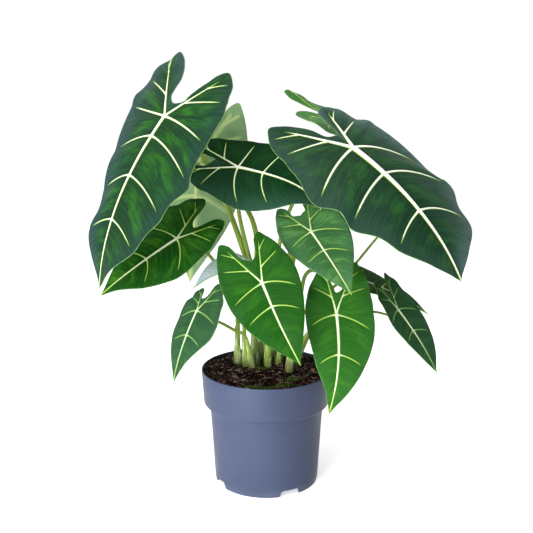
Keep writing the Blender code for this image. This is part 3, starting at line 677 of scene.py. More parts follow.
def ring_faces(count: int, rings: int, flipped: bool = False) -> list:
    """Faces of a body whose points are one on its axis, rings of points, and one on its axis.

    Args:
        count: Points in a ring.
        rings: How many rings.
        flipped: Whether the faces turn the other way.

    Returns:
        The faces.
    """
    faces, last = [], 1 + rings * count
    for k in range(count):
        m = (k + 1) % count
        faces.append((0, 1 + m, 1 + k))
        for low in range(1, last - count, count):
            faces.append((low + k, low + m, low + count + m, low + count + k))
        faces.append((last - count + k, last - count + m, last))
    return [face[:1] + face[:0:-1] for face in faces] if flipped else faces


def place_object(name: str, data: bpy.types.ID) -> Object:
    """Add an object to the scene.

    Args:
        name: Name of the object.
        data: Its mesh, light or camera.

    Returns:
        The object.
    """
    made = bpy.data.objects.new(name, data)
    bpy.context.scene.collection.objects.link(made)
    return made


def add_mesh(name: str, points: np.ndarray, faces: list, materials: list, numbers: dict | None = None,
             charts: dict | None = None, smooth: bool = True) -> Object:
    """Make an object from points in millimetres.

    Args:
        name: Name of the object.
        points: One row a point.
        faces: Point numbers of each face.
        materials: Materials, by slot.
        numbers: Numbers at the points, by name.
        charts: Flat positions at the points, by name.
        smooth: Whether faces shade smooth.

    Returns:
        The object, linked to the scene.
    """
    mesh = bpy.data.meshes.new(name)
    mesh.from_pydata((np.asarray(points, float) * MM).tolist(), [], faces)
    for material in materials:
        mesh.materials.append(material)
    mesh.polygons.foreach_set("use_smooth", [smooth] * len(mesh.polygons))
    for key, values in (numbers or {}).items():
        layer = mesh.attributes.new(key, "FLOAT", "POINT")
        layer.data.foreach_set("value", np.asarray(values, np.float32))
    corners = np.zeros(len(mesh.loops), np.int32)
    mesh.loops.foreach_get("vertex_index", corners)
    for key, values in (charts or {}).items():
        layer = mesh.uv_layers.new(name=key)
        layer.data.foreach_set("uv", np.asarray(values, np.float32)[corners].ravel())
    mesh.validate()
    mesh.update()
    return place_object(name, mesh)


def join_close_points(made: Object, distance: float = 0.002) -> None:
    """Join an object's coinciding points.

    Args:
        made: The object.
        distance: How close they are, in millimetres.
    """
    work = bmesh.new()
    work.from_mesh(made.data)
    bmesh.ops.remove_doubles(work, verts=work.verts[:], dist=distance * MM)
    work.to_mesh(made.data)
    work.free()


def thicken(sheet: Object, thickness: float, **slots: int) -> None:
    """Give a sheet a thickness under its upper side.

    Args:
        sheet: The sheet.
        thickness: The thickness in millimetres.
        **slots: By how many slots the materials of the new faces are shifted.
    """
    solid = sheet.modifiers.new("thickness", "SOLIDIFY")
    solid.thickness = thickness * MM
    solid.offset = -1.0
    for name, shift in slots.items():
        setattr(solid, name, shift)


def register(piece: Object, slot: str, *nodes: str) -> None:
    """Tie a piece to the frame and report it.

    Args:
        piece: The finished piece.
        slot: Name of a material slot; not used.
        *nodes: Solids of the model that it stands for.
    """
    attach(piece, BODY)
    if nodes:
        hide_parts(*nodes)
    log.info("%s: %d faces", piece.name, len(piece.data.polygons))


class Loft:
    """Closed tubes, ribbons, flakes and sheets, gathered into one mesh."""

    def __init__(self) -> None:
        """Start with nothing."""
        self.points: list = []
        self.faces: list = []
        self.numbers: dict = {}
        self.charts: dict = {}

    def add(self, rings: np.ndarray, numbers: dict | None = None, charts: dict | None = None,
            closed: bool = True, flipped: bool = False) -> None:
        """Add a body through rings of points.

        Args:
            rings: Points, by ring, place in the ring and axis.
            numbers: Numbers at the points, by name and then as the rings.
            charts: Flat positions at the points, by name and then as the rings.
            closed: Whether each ring joins its ends and the body has end faces.
            flipped: Whether the faces turn the other way.
        """
        count, size = rings.shape[:2]
        first = sum(len(part) for part in self.points)
        self.points.append(rings.reshape(-1, 3))
        for key, values in (numbers or {}).items():
            self.numbers.setdefault(key, []).append(np.asarray(values).reshape(-1))
        for key, values in (charts or {}).items():
            self.charts.setdefault(key, []).append(np.asarray(values).reshape(-1, 2))
        for low in range(first, first + (count - 1) * size, size):
            for a in range(size if closed else size - 1):
                b = (a + 1) % size
                face = (low + a, low + b, low + size + b, low + size + a)
                self.faces.append(face[::-1] if flipped else face)
        if closed:
            last = first + (count - 1) * size
            self.faces.append(tuple(range(first + size - 1, first - 1, -1)))
            self.faces.append(tuple(range(last, last + size)))

    def build(self, name: str, *materials: Material, smooth: bool = True) -> Object:
        """The gathered bodies as one object.

        Args:
            name: Name of the object.
            *materials: Its materials.
            smooth: Whether faces shade smooth.

        Returns:
            The object.
        """
        numbers = {key: np.concatenate(values) for key, values in self.numbers.items()}
        charts = {key: np.vstack(values) for key, values in self.charts.items()}
        points = np.vstack(self.points)
        return add_mesh(name, points, self.faces, list(materials), numbers, charts, smooth)


# A typical blade, in midrib lengths: across, and along from the junction at 0 to the tip at 1. Its rows
# run from a rib to the margin. OUTER_ROWS gives the shares of LOBE_RIB and LOBE_OUTER that a row joins,
# its arch and its swell. INNER_ROWS gives the shares of LOBE_RIB and LOBE_INNER that a row joins, and
# how much of the leaf's inner bulge it has.
FRONT_V = (-0.12, 0.05, 0.20, 0.38, 0.55, 0.72, 0.86, 0.95, 1.00)
FRONT_HALF = (0.430, 0.440, 0.425, 0.375, 0.295, 0.185, 0.085, 0.026, 0.000)
FRONT_SLOPE = np.gradient(FRONT_HALF, FRONT_V)
LOBE_OUTER = ((0.430, -0.12), (0.405, -0.23), (0.350, -0.36), (0.285, -0.47), (0.215, -0.545))
LOBE_INNER = ((0.215, -0.545), (0.145, -0.515), (0.105, -0.410), (0.080, -0.310), (0.045, -0.235),
              (0.0, -0.18))
LOBE_RIB = ((0.0, 0.0), (0.030, -0.075), (0.070, -0.175), (0.115, -0.290), (0.155, -0.395),
            (0.185, -0.470))
OUTER_ROWS = ((0.00, 0.02, 0.15, 1.0), (0.17, 0.18, 0.0, 0.8), (0.36, 0.36, -0.06, 0.0),
              (0.56, 0.57, -0.06, 1.0), (0.76, 0.78, -0.06, 0.0), (1.00, 1.00, -0.06, 0.3))
INNER_ROWS = ((0.76, 0.22, 0.6), (0.56, 0.42, 1.0), (0.36, 0.62, 1.0), (0.17, 0.82, 0.5))
INNER_SWELL = 0.3
INNER_CALM = 0.3
LEAST_NOTCH = 0.004
FULLNESS_V = (-0.12, 0.10, 0.33, 0.58, 0.80)
ARCH = 0.36
TIP_ROW_V = 0.93
LOBE_REACH = 0.62
HALF_BLADE = 0.44
JUNCTION_BLEND = 0.16

# How a blade is made: its thickness and the size of its faces in millimetres, the steps of its midrib,
# how far the quilting reaches over a row, and the wave's pace from row to row and shift between sides.
BLADE_THICKNESS = 0.9
MESH_STEP = 2.4
CURVE_STEPS = 60
QUILT_REACH = 0.62
WAVE_PACE = 1.9
WAVE_SHIFT = 2.3


def even(fullness: float) -> tuple[float, ...]:
    """The same fullness at all five stations."""
    return (fullness,) * len(FULLNESS_V)


@dataclass
class Leaf:
    """One leaf: where its blade lies and how it bends, how its stalk runs and its green.

    joint and tip are the ends of the midrib, face is the way that its upper side looks (degrees to the
    right of the front, degrees above level), and stalk is the foot on the potting mix followed by the
    points that the stalk passes. A pair belongs to the blade's right and left half. Angles are in
    degrees, and lengths on the blade in midrib lengths.

    Attributes:
        stalk_radii: Radius of the stalk at its foot and at its top.
        veins: Where the side veins leave the midrib.
        right, left: Fullness of each half at FULLNESS_V.
        lobe: Length of the back lobes, and splay: how far they spread.
        rise: How far rows climb towards the tip, and drop: how far the first one falls back.
        bow: How far the midrib bends aside, and lean: how far the lobes' ribs lean out.
        inner: How far the lobes' inner edges bulge, and sinus: depth of the notch.
        scallop: How far the margin draws in at the side veins.
        droop, droop_power: Bend along the midrib, and how it gathers towards the tip.
        curl, lobe_bend: Bend across the blade, and of the lobes.
        quilt, wave: Height of the panels between veins, and of the margin's wave, in millimetres.
        rib: Width of the veins, and the field after it: strength of the painted sheen, a dull
            grey-green towards the margin of each half.
        bright: Whether the blade's slot name is the bright green one.
        crook: How far the stalk stands off under the blade and hangs below its end.
        sheath: Height of the sheath in millimetres, and sheath_turn: the way that its back faces.
    """

    name: str
    tone: Tone
    joint: Point
    tip: Point
    face: Pair
    stalk: tuple
    stalk_radii: Pair = (4.0, 2.0)
    veins: tuple[float, ...] = (0.0, 0.35)
    right: tuple[float, ...] = even(1.0)
    left: tuple[float, ...] = even(1.0)
    lobe: Pair = (1.0, 1.0)
    splay: Pair = (0.0, 0.0)
    rise: Pair = (0.16, 0.16)
    drop: Pair = (0.0, 0.0)
    bow: float = 0.0
    lean: Pair = (0.0, 0.0)
    inner: Pair = (0.0, 0.0)
    scallop: float = 0.0
    sinus: float = 1.0
    droop: float = 20.0
    droop_power: float = 1.3
    curl: Pair = (0.0, 0.0)
    lobe_bend: Pair = (0.0, 0.0)
    quilt: float = 2.0
    wave: float = 1.5
    rib: float = 1.0
    painted_sheen: Pair = (0.4, 0.4)
    bright: bool = False
    crook: Pair = (0.10, 0.05)
    sheath: float = 55.0
    sheath_turn: float = 0.0


LEAVES = (
    Leaf("leaf_upper_left", Tone.LIVELY, (-119, -60, 481), (-196, -100, 284), (-42, 20),
         ((-2, 40), (-20, 44, 265), (-30, 38, 300), (-50, 28, 359), (-80, 10, 427)),
         stalk_radii=(6.0, 2.6), veins=(0.0, 0.13, 0.37, 0.62), right=(0.8, 0.85, 1.0, 1.1, 1.32),
         left=(0.8, 0.7, 0.5, 0.5, 0.98), lobe=(0.62, 0.76), splay=(0.12, 0.16), rise=(0.21, 0.15),
         drop=(0.12, 0.17), lean=(0.01, 0.12), inner=(0.0, 0.05), scallop=0.03, sinus=0.45, droop=40,
         curl=(-15, -15), wave=2.0, rib=0.82, painted_sheen=(0.35, 1.0), sheath=70),
    Leaf("leaf_lower_left", Tone.SHADY, (-113, -10, 326), (-205, -50, 262), (-25, 30),
         ((-38, 20), (-40, 15, 240), (-58, 10, 277), (-80, 0, 308)), stalk_radii=(4.5, 1.8),
         veins=(0.0, 0.39), right=(0.84, 0.93, 1.0, 1.0, 1.0), left=(1.0, 0.88, 0.8, 0.8, 0.8),
         lobe=(0.95, 1.0), splay=(-0.06, 0.08), rise=(0.3, 0.16), inner=(0.02, 0.01), sinus=1.2,
         droop=15, curl=(-10, -10), bright=True, sheath=48, sheath_turn=200),
    Leaf("leaf_centre", Tone.DUSK, (-35, -10, 416), (66, -50, 368), (5, 40),
         ((9, 32), (-7, 34, 235), (-14, 35, 265), (-23, 29, 295), (-36, 20, 358)),
         stalk_radii=(5.0, 2.2), veins=(0.0, 0.27), right=(0.84, 0.95, 1.0, 1.0, 1.0),
         left=(0.84, 0.9, 1.1, 1.14, 1.0), lobe=(1.15, 1.0), splay=(-0.12, 0.12), rise=(0.05, 0.32),
         drop=(0.08, 0.08), bow=0.045, inner=(0.025, 0.0), sinus=1.5, droop=85, droop_power=5.0,
         curl=(-15, -30), quilt=1.6, wave=1.0, rib=1.15, painted_sheen=(0.0, 0.9), sheath=62),
    Leaf("leaf_upper_right", Tone.DEEP, (102, -60, 444), (225, -115, 295), (35, 35),
         ((18, 40), (33, 24, 286), (44, 18, 330), (76, 0, 400)), stalk_radii=(6.5, 3.0),
         veins=(0.0, 0.24, 0.53), right=(0.84, 0.64, 0.93, 1.4, 2.3), left=(0.93, 1.1, 1.13, 1.2, 1.5),
         lobe=(0.65, 0.72), splay=(-0.1, 0.2), rise=(0.33, 0.17), lean=(0.04, -0.04),
         inner=(0.012, 0.036), scallop=0.085, sinus=0.7, droop=40, curl=(-20, -15), quilt=1.9,
         wave=2.5, rib=1.6, painted_sheen=(1.0, 0.25), sheath=75),
    Leaf("leaf_back_left", Tone.DEEP, (-92, 75, 412), (-107, 100, 243), (170, 20),
         ((-16, 18), (-14, 22, 260), (-14, 34, 325), (-36, 54, 365)), stalk_radii=(6.0, 2.4),
         veins=(0.0, 0.27, 0.54), right=even(0.9), left=even(0.82), lobe=(0.9, 0.95),
         splay=(0.1, 0.22), sheath=66, sheath_turn=160),
    Leaf("leaf_front", Tone.BRIGHT, (-5, -100, 290), (40, -125, 197), (0, 25),
         ((2, 12), (2, -18, 220), (-2, -68, 275)), stalk_radii=(4.5, 2.0), veins=(0.0, 0.28),
         right=even(0.93), left=(1.0, 1.0, 0.97, 0.95, 0.95), lobe=(1.0, 1.07), splay=(0.0, 0.06),
         rise=(0.22, 0.13), bow=-0.02, sinus=1.5, droop=15, bright=True, sheath=45, sheath_turn=270),
    Leaf("leaf_front_right", Tone.BRIGHT_PAINTED_LIGHT, (85, -65, 246), (76, -90, 122), (12, 15),
         ((30, -4), (40, -10, 220), (48, -30, 282), (66, -44, 290)), stalk_radii=(4.5, 1.9),
         veins=(0.03, 0.41), right=(0.85, 0.88, 0.87, 0.88, 0.9), left=(0.7, 0.7, 0.7, 0.7, 0.6),
         lobe=(0.9, 0.8), bow=0.045, curl=(-10, -10), bright=True, crook=(0.14, -0.25), sheath=45,
         sheath_turn=300),
    Leaf("leaf_mid_right", Tone.TENDER, (54, -55, 343), (99, -110, 278), (0, 30),
         ((16, 22), (24, 8, 240), (28, 4, 301), (42, -22, 330)), stalk_radii=(4.0, 1.8),
         veins=(0.0, 0.32), left=(0.9, 0.88, 0.85, 0.8, 0.8), rise=(0.26, 0.11), sinus=1.6,
         bright=True, sheath=50),
    Leaf("leaf_far_right", Tone.SOFT, (170, 0, 231), (218, -30, 155), (35, 25),
         ((36, 7), (46, 6, 185), (66, 8, 208), (100, 10, 221), (140, 10, 225)), stalk_radii=(3.5, 1.3),
         right=(0.65, 0.7, 0.75, 0.8, 0.8), left=(0.5, 0.55, 0.6, 0.65, 0.7), lobe=(1.0, 0.9),
         splay=(0.15, -0.12), quilt=1.0, wave=1.0, sheath=26),
    Leaf("leaf_right_level", Tone.SHADY, (115, 30, 267), (217, 40, 214), (0, 70),
         ((40, 20), (62, 24, 200), (88, 27, 232)), stalk_radii=(3.5, 1.4), right=even(0.6),
         left=even(0.45), quilt=1.0, wave=1.0, sheath=30),
    Leaf("leaf_small_left", Tone.SOFT, (-86, -50, 243), (-114, -80, 160), (-45, 20),
         ((-19, 2), (-27, -10, 197), (-41, -20, 209), (-60, -34, 224)), stalk_radii=(3.5, 1.5),
         right=(1.0, 1.12, 1.15, 0.9, 0.85), left=(0.62, 0.64, 0.68, 0.7, 0.7), lobe=(0.8, 0.6),
         splay=(0.0, -0.1), quilt=1.0, wave=1.0, sheath=34, sheath_turn=240),
    Leaf("leaf_top_back", Tone.FRESH, (102, 60, 466), (219, 110, 372), (60, 70),
         ((8, 52), (20, 56, 320), (70, 60, 420)), stalk_radii=(4.5, 2.0),
         right=(0.66, 0.42, 0.4, 0.5, 0.5), left=(1.0, 1.5, 1.2, 0.8, 0.8), lobe=(1.05, 0.88),
         splay=(-0.22, -0.05), lean=(0.1, 0.0), inner=(0.08, 0.03), droop=40, curl=(6, -12),
         lobe_bend=(22, -9), quilt=1.4, wave=0.8, sheath=60, sheath_turn=90),
    Leaf("leaf_left_level", Tone.PAINTED_REFLECTION, (-33, -20, 298), (-90, -50, 272), (0, 80),
         ((-27, 10), (-30, 0, 220), (-32, -12, 270)), stalk_radii=(4.0, 1.6),
         right=(0.5, 0.35, 0.25, 0.25, 0.25), left=even(1.1), lobe=(0.3, 0.3), quilt=0.6, wave=0.4,
         sheath=44, sheath_turn=230),
    Leaf("leaf_hidden_right", Tone.SOFT, (170, 10, 357), (208, 10, 305), (30, 40),
         ((30, 50), (34, 44, 190), (60, 22, 232), (92, 0, 266), (115, 0, 293), (140, 8, 322)),
         stalk_radii=(3.5, 1.3), right=even(0.9), left=even(0.9), quilt=1.0, wave=1.0, sheath=36,
         sheath_turn=60),
)


class BladeSurface:
    """The curved upper surface of one blade.

    A place on it is a side (-1 right, 1 left), a row and a share of that row. Rows run from the tip,
    along the midrib, round a back lobe and to the notch, and each leaves its rib for the margin. Whole
    rows are the ones that the side veins follow.
    """

    def __init__(self, leaf: Leaf) -> None:
        """Lay out the rows and the frame of a leaf's blade.

        Args:
            leaf: The leaf.
        """
        self.leaf = leaf
        self.rows = {side: self.lay_rows(side) for side in SIDES}
        self.junction = 1 + 2 * len(leaf.veins)
        self.root = self.junction + 1
        self.last = len(self.rows[1][0]) - 1
        self.t = np.linspace(0, 1, CURVE_STEPS + 1)
        pitch = -math.radians(leaf.droop) * self.t ** leaf.droop_power
        heading = np.stack([np.cos(pitch), 0 * pitch, np.sin(pitch)], -1)
        steps = (heading[1:] + heading[:-1]) / (2 * CURVE_STEPS)
        self.curve = np.vstack([np.zeros(3), np.cumsum(steps, axis=0)])
        self.origin, tip = np.array(leaf.joint, float), np.array(leaf.tip, float)
        self.length = float(np.linalg.norm(tip - self.origin) / np.linalg.norm(self.curve[-1]))
        near, far = unit(self.curve[-1]), unit(tip - self.origin)
        up = unit(np.array(UP) - near[2] * near)
        azimuth, elevation = map(math.radians, leaf.face)
        face = np.array([math.sin(azimuth) * math.cos(elevation),
                         -math.cos(azimuth) * math.cos(elevation), math.sin(elevation)])
        face = unit(face - face @ far * far)
        own = np.stack([near, np.cross(up, near), up], 1)
        self.turn = np.stack([far, np.cross(face, far), face], 1) @ own.T

    def fullness(self, side: int) -> tuple[float, ...]:
        """Fullness of one side at the five stations."""
        return self.leaf.right if side < 0 else self.leaf.left

    def half(self, side: int, v: float) -> float:
        """Half width of one side, in midrib lengths.

        Args:
            side: Side of the blade.
            v: Station along the midrib.

        Returns:
            The half width.
        """
        k, t = gap_at(FRONT_V, v)
        out, into = (FRONT_V[k + 1] - FRONT_V[k]) * FRONT_SLOPE[k:k + 2]
        typical = hermite(FRONT_HALF[k], FRONT_HALF[k + 1], t, out, into)
        k, t = gap_at(FULLNESS_V, v)
        return typical * hermite(*self.fullness(side)[k:k + 2], clamp(t))

    def lobe_point(self, side: int, line: tuple, share: float, shift: float = 0.0,
                   eased: bool = False) -> np.ndarray:
        """A point of a back lobe's outline or rib.

        Args:
            side: Side of the blade.
            line: The typical line.
            share: Share of that line.
            shift: How far the line leans out, beside its reach.
            eased: Whether the splay eases out towards the notch.

        Returns:
            The point in midrib lengths.
        """
        points = np.asarray(line, float)
        lengths = reach(points)
        x, y = (np.interp(share, lengths / lengths[-1], points[:, k]) for k in (0, 1))
        kept = min(1.0, 0.4 + max(0.0, (-y - 0.10) / 0.4)) if eased else 1.0
        lean = self.leaf.splay[side > 0] * kept + shift
        return np.array([x * self.fullness(side)[0] - lean * y, y * self.leaf.lobe[side > 0]])

    def lay_rows(self, side: int) -> tuple[np.ndarray, ...]:
        """Lay the rows of one side.

        Args:
            side: Side of the blade.

        Returns:
            Starts, ends, arches and swells of the rows.
        """
        leaf, pick = self.leaf, side > 0
        junction = (0.0, leaf.veins[0])
        notch = LOBE_INNER[-1][1] * leaf.sinus
        rows = [((0.0, 1.0), (0.0, 1.0), 0.0, 0.0)]
        stations = [(TIP_ROW_V, 0.0), ((TIP_ROW_V + leaf.veins[-1]) / 2, 1.0), (leaf.veins[-1], 0.0)]
        for low, high in zip(leaf.veins[-2::-1], leaf.veins[:0:-1]):
            stations += [((high + low) / 2, 1.0), (low, 0.0)]
        for number, (v, swell) in enumerate(stations):
            edge = v + min(leaf.rise[pick] * math.sqrt(1 - v), 0.6 * (1 - v))
            edge -= leaf.drop[pick] if v == leaf.veins[0] else 0.0
            bulge = 1 + leaf.scallop * (0.5 - swell) if number > 0 else 1.0
            rows.append(((0.0, v), (self.half(side, edge) * bulge, edge), ARCH, swell))
        for rib_share, edge_share, arch, swell in OUTER_ROWS:
            start = self.lobe_point(side, LOBE_RIB, rib_share, leaf.lean[pick])
            edge = self.lobe_point(side, LOBE_OUTER, edge_share)
            rows.append((start if rib_share else junction, edge, arch, swell))
        for rib_share, edge_share, hump in INNER_ROWS:
            edge = self.lobe_point(side, LOBE_INNER, edge_share, 0.0, True)
            edge[0] = max(edge[0] - leaf.inner[pick] * hump, LEAST_NOTCH)
            if edge_share > 0.8:
                edge[1] = (edge[1] * (1 + leaf.sinus) / 2 + notch - 0.02) / 2
            start = self.lobe_point(side, LOBE_RIB, rib_share, leaf.lean[pick])
            rows.append((start, edge, 0.0, INNER_SWELL))
        rows.append((junction, (0.0, notch), 0.0, INNER_SWELL))
        return tuple(np.array([row[k] for row in rows], float) for k in range(4))

    def flat(self, side: int, row: np.ndarray, share: np.ndarray) -> np.ndarray:
        """Places on the flattened blade, in midrib lengths.

        Args:
            side: Side of the blade.
            row: Rows, which needn't be whole.
            share: Shares of the rows.

        Returns:
            Across and along, one place a row.
        """
        starts, ends, arches, _ = self.rows[side]
        k = np.clip(row.astype(int), 0, self.last - 1)
        t = (row - k)[:, None]
        start = starts[k] + (starts[k + 1] - starts[k]) * t
        steps = np.diff(ends, axis=0)
        chords = np.maximum(np.linalg.norm(steps, axis=1, keepdims=True), TINY)
        runs = steps / chords
        turns = (runs[:-1] * chords[1:] + runs[1:] * chords[:-1]) / (chords[1:] + chords[:-1])
        turns = np.vstack([runs[:1], turns, runs[-1:]])
        end = hermite(ends[k], ends[k + 1], t, chords[k] * turns[k], chords[k] * turns[k + 1])
        arch = arches[k] + (arches[k + 1] - arches[k]) * t[:, 0]
        middle = (start + end) / 2
        middle[:, 1] -= arch * (end[:, 1] - start[:, 1])
        s = share[:, None]
        return (1 - s) ** 2 * start + 2 * s * (1 - s) * middle + s ** 2 * end

    def puff(self, side: int, row: np.ndarray) -> np.ndarray:
        """How near rows are to the middle of the panels between veins, 0 to 1."""
        swells, k = self.rows[side][3], np.clip(row.astype(int), 0, self.last - 1)
        return np.sin(math.pi / 2 * (swells[k] + (swells[k + 1] - swells[k]) * (row - k)))

    def swell(self, side: int, row: np.ndarray, share: np.ndarray) -> np.ndarray:
        """Height of the quilting between the veins and of the wave at the margin.

        Args:
            side: Side of the blade.
            row: Rows.
            share: Shares of the rows.

        Returns:
            The height in millimetres.
        """
        fade = np.minimum(1.0, row / 2) * np.minimum(1.0, (self.last - row) / 3)
        fade = fade * np.interp(row, [self.last - 5, self.last - 4], [1.0, INNER_CALM])
        across = np.sin(math.pi * np.minimum(1.0, share * QUILT_REACH))
        rise = self.leaf.quilt * self.puff(side, row) * across
        return rise + self.leaf.wave * share ** 2 * fade * np.sin(WAVE_PACE * row + WAVE_SHIFT * side)

    def points(self, side: int, row: object, share: object) -> np.ndarray:
        """Points of the surface in millimetres.

        Args:
            side: Side of the blade.
            row: Rows.
            share: Shares of the rows.

        Returns:
            One point a row.
        """
        row, share = (np.array(part, float).ravel() for part in np.broadcast_arrays(row, share))
        u, v = self.flat(side, row, share).T
        ahead = np.maximum(v, 0.0)
        centre = np.stack([np.interp(ahead, self.t, self.curve[:, k]) for k in range(3)], -1)
        centre[:, 1] += self.leaf.bow * np.sin(math.pi * ahead)
        pitch = -math.radians(self.leaf.droop) * ahead ** self.leaf.droop_power
        bends = np.radians(self.leaf.lobe_bend) / LOBE_REACH
        rate = hermite(*bends, np.clip(0.5 + side * u / JUNCTION_BLEND, 0, 1))
        rate = np.where(np.abs(rate) < TINY, TINY, rate)
        back = np.stack([np.sin(rate * v) / rate, 0 * v, (1 - np.cos(rate * v)) / rate], -1)
        centre = np.where((v < 0)[:, None], back, centre)
        pitch = np.where(v < 0, rate * v, pitch)
        heading = np.stack([np.cos(pitch), 0 * pitch, np.sin(pitch)], -1)
        normal = np.stack([-np.sin(pitch), 0 * pitch, np.cos(pitch)], -1)
        bend = math.radians(self.leaf.curl[side > 0]) / HALF_BLADE or TINY
        out, high = np.sin(bend * u) / bend, (1 - np.cos(bend * u)) / bend
        local = centre + np.cross(heading, normal) * (side * out)[:, None]
        local += normal * (high + self.swell(side, row, share) / self.length)[:, None]
        return self.origin + local * self.length @ self.turn.T

    def row_steps(self) -> np.ndarray:
        """Rows of a fine mesh, alike on both sides of a lobe's rib."""
        middles = [self.points(side, np.arange(self.last + 1), 0.7) for side in SIDES]
        gaps = np.max([np.linalg.norm(np.diff(part, axis=0), axis=1) for part in middles], axis=0)
        counts = np.maximum(2, np.ceil(gaps / MESH_STEP).astype(int))
        lobe = counts[self.root:]
        counts[self.root:] = np.maximum(lobe, lobe[::-1])
        rows = [k + np.arange(count) / count for k, count in enumerate(counts)]
        return np.concatenate([*rows, [self.last]])


@dataclass
class VeinLine:
    """One vein: points on a blade, ways along the blade and off it, half width and fading at each."""

    points: np.ndarray
    right: np.ndarray
    left: np.ndarray
    normals: np.ndarray
    halves: np.ndarray
    fade: np.ndarray


